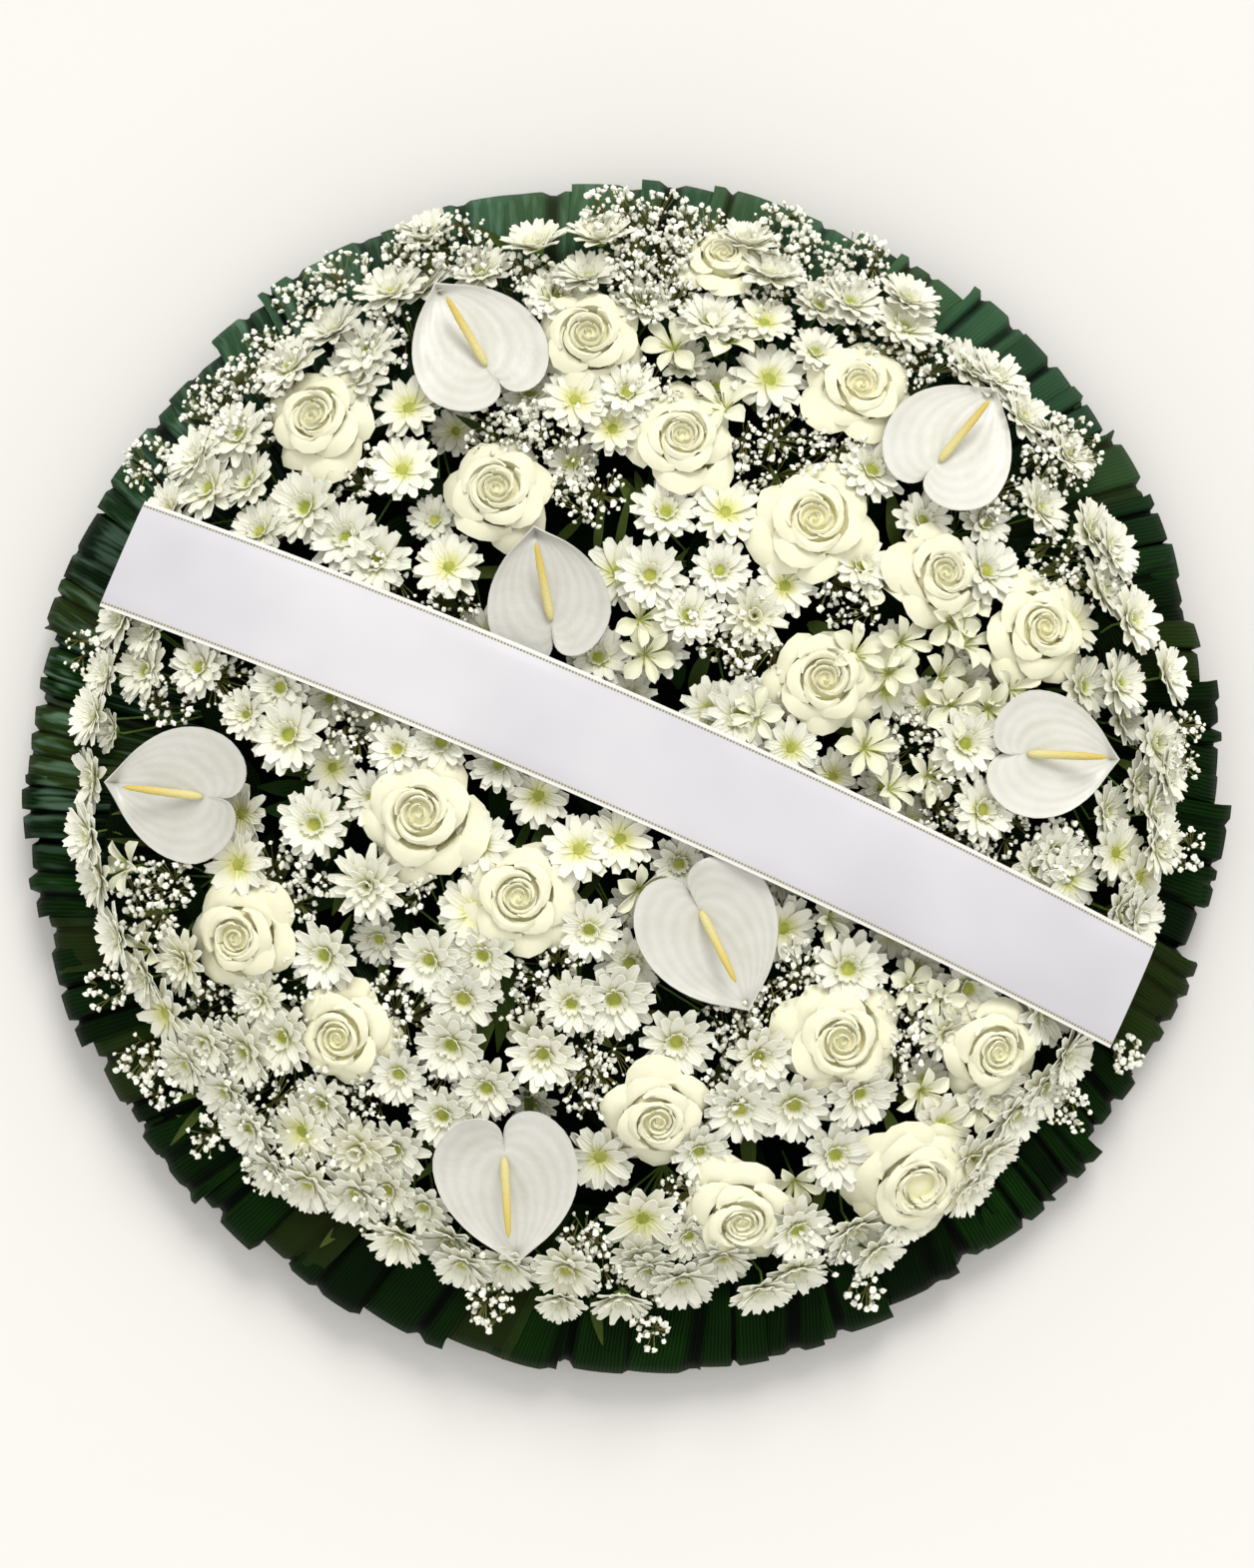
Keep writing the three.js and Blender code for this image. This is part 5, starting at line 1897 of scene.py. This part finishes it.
# ---- Leaf collar ---------------------------------------------------------------------
@dataclass
class Collar:
    """Folded and gathered leaf blades round the wreath, lapping one way."""

    palette: Palette
    leaves: int = 5
    blades_in_leaf: int = 11
    columns: int = 28
    rows: int = 14
    thickness: float = 0.8 * MM
    lift: float = 6.0 * MM
    radius_spread: float = 6.0 * MM

    # Distance from the wreath's axis and height along a blade, in millimetres, from its
    # pinned upper edge over the fold and back to the board.
    PROFILE = (
        (304, 50), (346, 54), (390, 52), (412, 43), (419, 28), (408, 14), (370, 10), (334, 9),
    )

    def build(self) -> None:
        """Builds one piece for each of the CAD model's leaves."""
        chance = Random(12)
        span = 360 / self.leaves
        for leaf in range(self.leaves):
            piece = Piece(f"collar_blades_{leaf + 1:02d}", "leaf", [self.palette.leaf])
            pitch = span / self.blades_in_leaf
            for blade in range(self.blades_in_leaf):
                start = leaf * span + blade * pitch + chance.uniform(-0.6, 0.6)
                width = pitch * chance.uniform(1.25, 1.55)
                form, fold = self.blade(start, width, chance)
                piece.add(form, chance.random(), chance.choice((0.0, 0.0, 0.0, 0.05)), fold)
            piece.build(f"collar_leaf_{leaf + 1:02d}")

    def gathers(self, broad: float, chance: Random) -> tuple[Array, Array]:
        """Lays out the flat-topped gathers across a blade.

        Args:
            broad: 0 for narrow deep gathers, 1 for broad shallow ones.
            chance: Seeded chance.

        Returns:
            Places across the blade, 0 to 1, and the height at each, -1 to 1.
        """
        places, heights = [0.0], [chance.uniform(-0.3, 0.3)]
        while places[-1] < 1:
            flat = chance.uniform(0.07, 0.3) * (1 + 1.4 * broad)
            valley = chance.uniform(0.01, 0.05) * (1 + broad)
            slope = chance.uniform(0.015, 0.05) * (1 + 1.5 * broad)
            top, low = chance.uniform(0.1, 1.0), chance.uniform(-1.0, -0.1)
            here = places[-1]
            places += [here + slope, here + slope + flat, here + 2 * slope + flat]
            heights += [top, top * chance.uniform(0.5, 1.0), low]
            places.append(places[-1] + valley)
            heights.append(low * chance.uniform(0.7, 1.0))
        return np.array(places), np.array(heights)

    def blade(
        self, start: float, width: float, chance: Random
    ) -> tuple[Form, Array]:
        """Models one gathered blade from a grid.

        Args:
            start: Angle of its lower side in degrees.
            width: Its width in degrees.
            chance: Seeded chance.

        Returns:
            The blade in its place, and for each point how near it is to a ridge.
        """
        middle = radians(start + width / 2)
        broad = abs(sin(middle)) ** 1.8
        grow = chance.uniform(-1.3, 1) * self.radius_spread * (1 - 0.4 * broad)
        depth = (3.0 - 2.0 * broad) * MM * chance.uniform(0.85, 1.15)
        skew = chance.uniform(3.0, 11.0)
        tuck = chance.uniform(0.3, 1.0)
        places, heights = self.gathers(broad, chance)
        even = np.linspace(0, 1, self.columns + 1)
        columns = even.copy()
        for place in places[places < 0.99]:
            nearest = 1 + int(np.argmin(np.abs(even[1:-1] - place)))
            columns[nearest] = place
        columns.sort()

        def shape(across: float, along: float) -> Point:
            out, up = spline(self.PROFILE, along) * MM
            ahead = direction(self.PROFILE, along)
            normal = np.array((-ahead[1], ahead[0]))
            side = float(np.interp((across + 1) / 2, even, columns))
            rim = smoothstep(out, 0.350, 0.412)
            gathered = float(np.interp(side, places, heights))
            away = self.lift * side + depth * gathered * (0.45 + 0.55 * rim)
            away += 2.0 * MM * sin(pi * side) * rim * tuck
            out += normal[0] * away + grow * rim + 2.0 * MM * (side + gathered) * rim
            up = max(up + normal[1] * away, 1.5 * MM)
            skewed = radians(skew * (0.42 - min(out, 0.42)) / 0.25)
            angle = radians(start + width * side) + skewed
            return out * cos(angle), out * sin(angle), up

        form = Bench.sheet(self.columns, self.rows, shape, self.thickness)
        # How near each point is to a ridge, for the painted shade in the valleys.
        ridge = np.clip(np.interp(columns, places, heights) * 0.7 + 0.5, 0, 1)
        return form, np.tile(ridge, len(form.points) // len(ridge))


# ---- Sash ----------------------------------------------------------------------------
@dataclass
class Sash:
    """The plain satin sash, with a stitched thread along each long edge."""

    palette: Palette
    start: tuple[float, float] = (-0.351, 0.157)
    end: tuple[float, float] = (0.356, -0.152)
    bow: float = 13 * MM
    width: float = 80 * MM
    length: float = 0.790
    thickness: float = 0.6 * MM
    lift: float = 20 * MM
    sag: float = 2 * MM
    thread_inset: float = 3.2 * MM
    stitch: float = 2.4 * MM
    clear: float = 2.2 * MM

    def run(self) -> tuple[Array, Array, Array, float]:
        """Returns the chord's middle, its direction, the direction across and its length."""
        start, end = np.array(self.start), np.array(self.end)
        chord = end - start
        length = float(np.linalg.norm(chord))
        ahead = chord / length
        return (start + end) / 2, ahead, np.array((-ahead[1], ahead[0])), length

    def middle(self, along: float) -> Array:
        """Returns the point of its middle line at a place along the chord."""
        centre, ahead, across, length = self.run()
        bow = self.bow * (1 - (2 * along / length) ** 2)
        return centre + ahead * along + across * bow

    def floor(self, along: float, side: float) -> float:
        """Returns the height of its underside at a place along and across it."""
        x, y = self.middle(along)
        return DOME.height(x, y) + self.lift - self.sag * (2 * side / self.width) ** 2

    def covers(self, x: float, y: float) -> bool:
        """Tells whether a flower there would be hidden by the sash."""
        centre, ahead, across, length = self.run()
        along = float((np.array((x, y)) - centre) @ ahead)
        side = float((np.array((x, y)) - centre) @ across)
        side -= self.bow * (1 - (2 * along / length) ** 2)
        return abs(along) < length / 2 + 0.005 and abs(side) < self.width / 2 - 0.004

    def kept_under(self, points: Array) -> Array:
        """Presses the points that lie under the sash down to just below it.

        Args:
            points: Points of a flower in its place.

        Returns:
            The same points, lower where the sash covers them.
        """
        centre, ahead, across, length = self.run()
        flat = points[:, :2] - centre
        along = flat @ ahead
        bow = self.bow * (1 - (2 * along / length) ** 2)
        side = flat @ across - bow
        beyond = np.maximum(np.abs(side) - self.width / 2, 0.0)
        covered = (np.abs(along) < length / 2 + 0.01) & (beyond < 0.012)
        middle = centre + np.outer(along, ahead) + np.outer(bow, across)
        held = np.minimum(np.abs(side), self.width / 2)
        roof = DOME.height(middle[:, 0], middle[:, 1]) + self.lift - self.clear
        roof += 0.8 * beyond - self.sag * (2 * held / self.width) ** 2
        pressed = points.copy()
        pressed[covered, 2] = np.minimum(points[covered, 2], roof[covered])
        return pressed

    def place(self, share: float, side: float, above: float = 0.0) -> Point:
        """Gives a point on the sash.

        Args:
            share: Place along the chord, 0 to 1.
            side: Distance across from its middle line.
            above: Height over the cloth.

        Returns:
            The point.
        """
        _, _, across, length = self.run()
        along = (share - 0.5) * length
        x, y = self.middle(along) + across * side
        wave = 1.3 * sin(19 * share + 0.6) + 0.9 * sin(31 * share + 2.0 + 25 * side)
        cross = 0.9 * sin(46 * side + 7 * share) * sin(13 * share + 1.1)
        edge = smoothstep(abs(side), self.width * 0.35, self.width * 0.5)
        up = self.floor(along, side) + (2.4 + wave + cross) * MM * (1 - 0.35 * edge) + above
        return float(x), float(y), up

    def build(self) -> None:
        """Builds the cloth and its stitching."""
        half = self.width / 2
        cloth = Bench.sheet(
            20, 150, lambda across, along: self.place(along, -across * half), self.thickness
        )
        piece = Piece("satin_sash", "satin", [self.palette.satin])
        piece.add(cloth)
        sash = piece.build("sash")
        self.stitching()

    def stitching(self) -> bpy.types.Object:
        """Models the two rows of tiny stitches and returns the piece."""

        def shape(point: Vector, _: int) -> Vector:
            return Vector((point.x * 0.42 * self.stitch, point.y * 0.8 * MM, point.z * 0.5 * MM))

        bead = Bench.ball(5, 3, shape)
        piece = Piece("sash_stitching", "satin", [self.palette.thread])
        _, ahead, _, length = self.run()
        turn = Matrix.Rotation(atan2(ahead[1], ahead[0]), 4, "Z")
        count = int(length / self.stitch)
        for side in (-1, 1):
            for number in range(count):
                share = (number + 0.5) / count
                off = side * (self.width / 2 - self.thread_inset)
                point = self.place(share, off, 0.4 * MM)
                piece.add(bead.moved(Matrix.Translation(point) @ turn))
        return piece.build()


# ---- Base and studio -----------------------------------------------------------------
@dataclass
class Base:
    """The board and the foam, which keep their CAD shapes."""

    palette: Palette

    def dress(self) -> None:
        """Gives both CAD nodes their finish."""
        for node, material in (
            ("backing_board", self.palette.board), ("floral_foam", self.palette.foam),
        ):
            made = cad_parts[node]
            made.data.materials.clear()
            made.data.materials.append(material)


@dataclass
class Studio:
    """Pale floor, soft light and the camera that looks down on the wreath."""

    palette: Palette
    floor_size: float = 60.0
    camera_height: float = 2.68
    camera_shift: tuple[float, float] = (0.002, -0.004)
    lens: float = 85.0
    key_strength: float = 1.75
    key_spread: float = 26.0
    fill: float = 0.967

    # Where the key light comes from, and the colours of both lights.
    KEY_PLACE = (0.45, 2.15, 2.2)
    KEY_COLOUR = (1.0, 0.99, 0.97)
    FILL_COLOUR = (1.0, 0.99, 0.965, 1.0)

    def build(self) -> None:
        """Builds the floor, the lights and the camera."""
        self.floor()
        self.lights()
        self.camera()

    def floor(self) -> None:
        """Models the floor as one wide flat sheet."""
        Bench.clear()
        bpy.ops.mesh.primitive_plane_add(size=self.floor_size, location=(0, 0, -0.0005))
        floor = bpy.context.object
        floor.name = "floor"
        floor.data.materials.append(self.palette.floor)
        floor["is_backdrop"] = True

    def lights(self) -> None:
        """Adds a large soft light from above the far side and an even fill."""
        key = bpy.data.lights.new("key", "SUN")
        key.angle = radians(self.key_spread)
        key.energy = self.key_strength
        key.color = self.KEY_COLOUR
        lamp = bpy.data.objects.new("key", key)
        lamp.location = self.KEY_PLACE
        lamp.rotation_euler = (-lamp.location).to_track_quat("-Z", "Y").to_euler()
        bpy.context.scene.collection.objects.link(lamp)
        world = bpy.data.worlds.new("studio")
        world.use_nodes = True
        background = world.node_tree.nodes["Background"]
        background.inputs[0].default_value = self.FILL_COLOUR
        background.inputs[1].default_value = self.fill
        bpy.context.scene.world = world

    def camera(self) -> None:
        """Adds the camera, looking straight down."""
        data = bpy.data.cameras.new("camera")
        data.lens = self.lens
        data.sensor_width = 36.0
        camera = bpy.data.objects.new("camera", data)
        camera.location = (*self.camera_shift, self.camera_height)
        bpy.context.scene.collection.objects.link(camera)
        bpy.context.scene.camera = camera
        bpy.context.scene.view_settings.view_transform = "Standard"


def corners(bounds: Iterable) -> list[list[float]]:
    """Returns a box's corners as plain lists."""
    return [[float(value) for value in corner] for corner in bounds]


def main() -> None:
    """Builds the wreath from the base up, then the studio."""
    logging.basicConfig(level=logging.INFO, format="%(name)s %(message)s")
    palette = Palette()
    sash = Sash(palette)
    Base(palette).dress()
    Collar(palette).build()
    Greenery(palette).build()
    Chrysanthemums(palette, sash).build()
    Alstroemerias(palette).build()
    Gypsophila(palette).build()
    Roses(palette).build()
    Anthuriums(palette, sash).build()
    sash.build()
    Studio(palette).build()
    {"cad": corners(CAD_BOUNDS), "dressed": corners(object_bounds())}


if __name__ == "__main__":
    main()
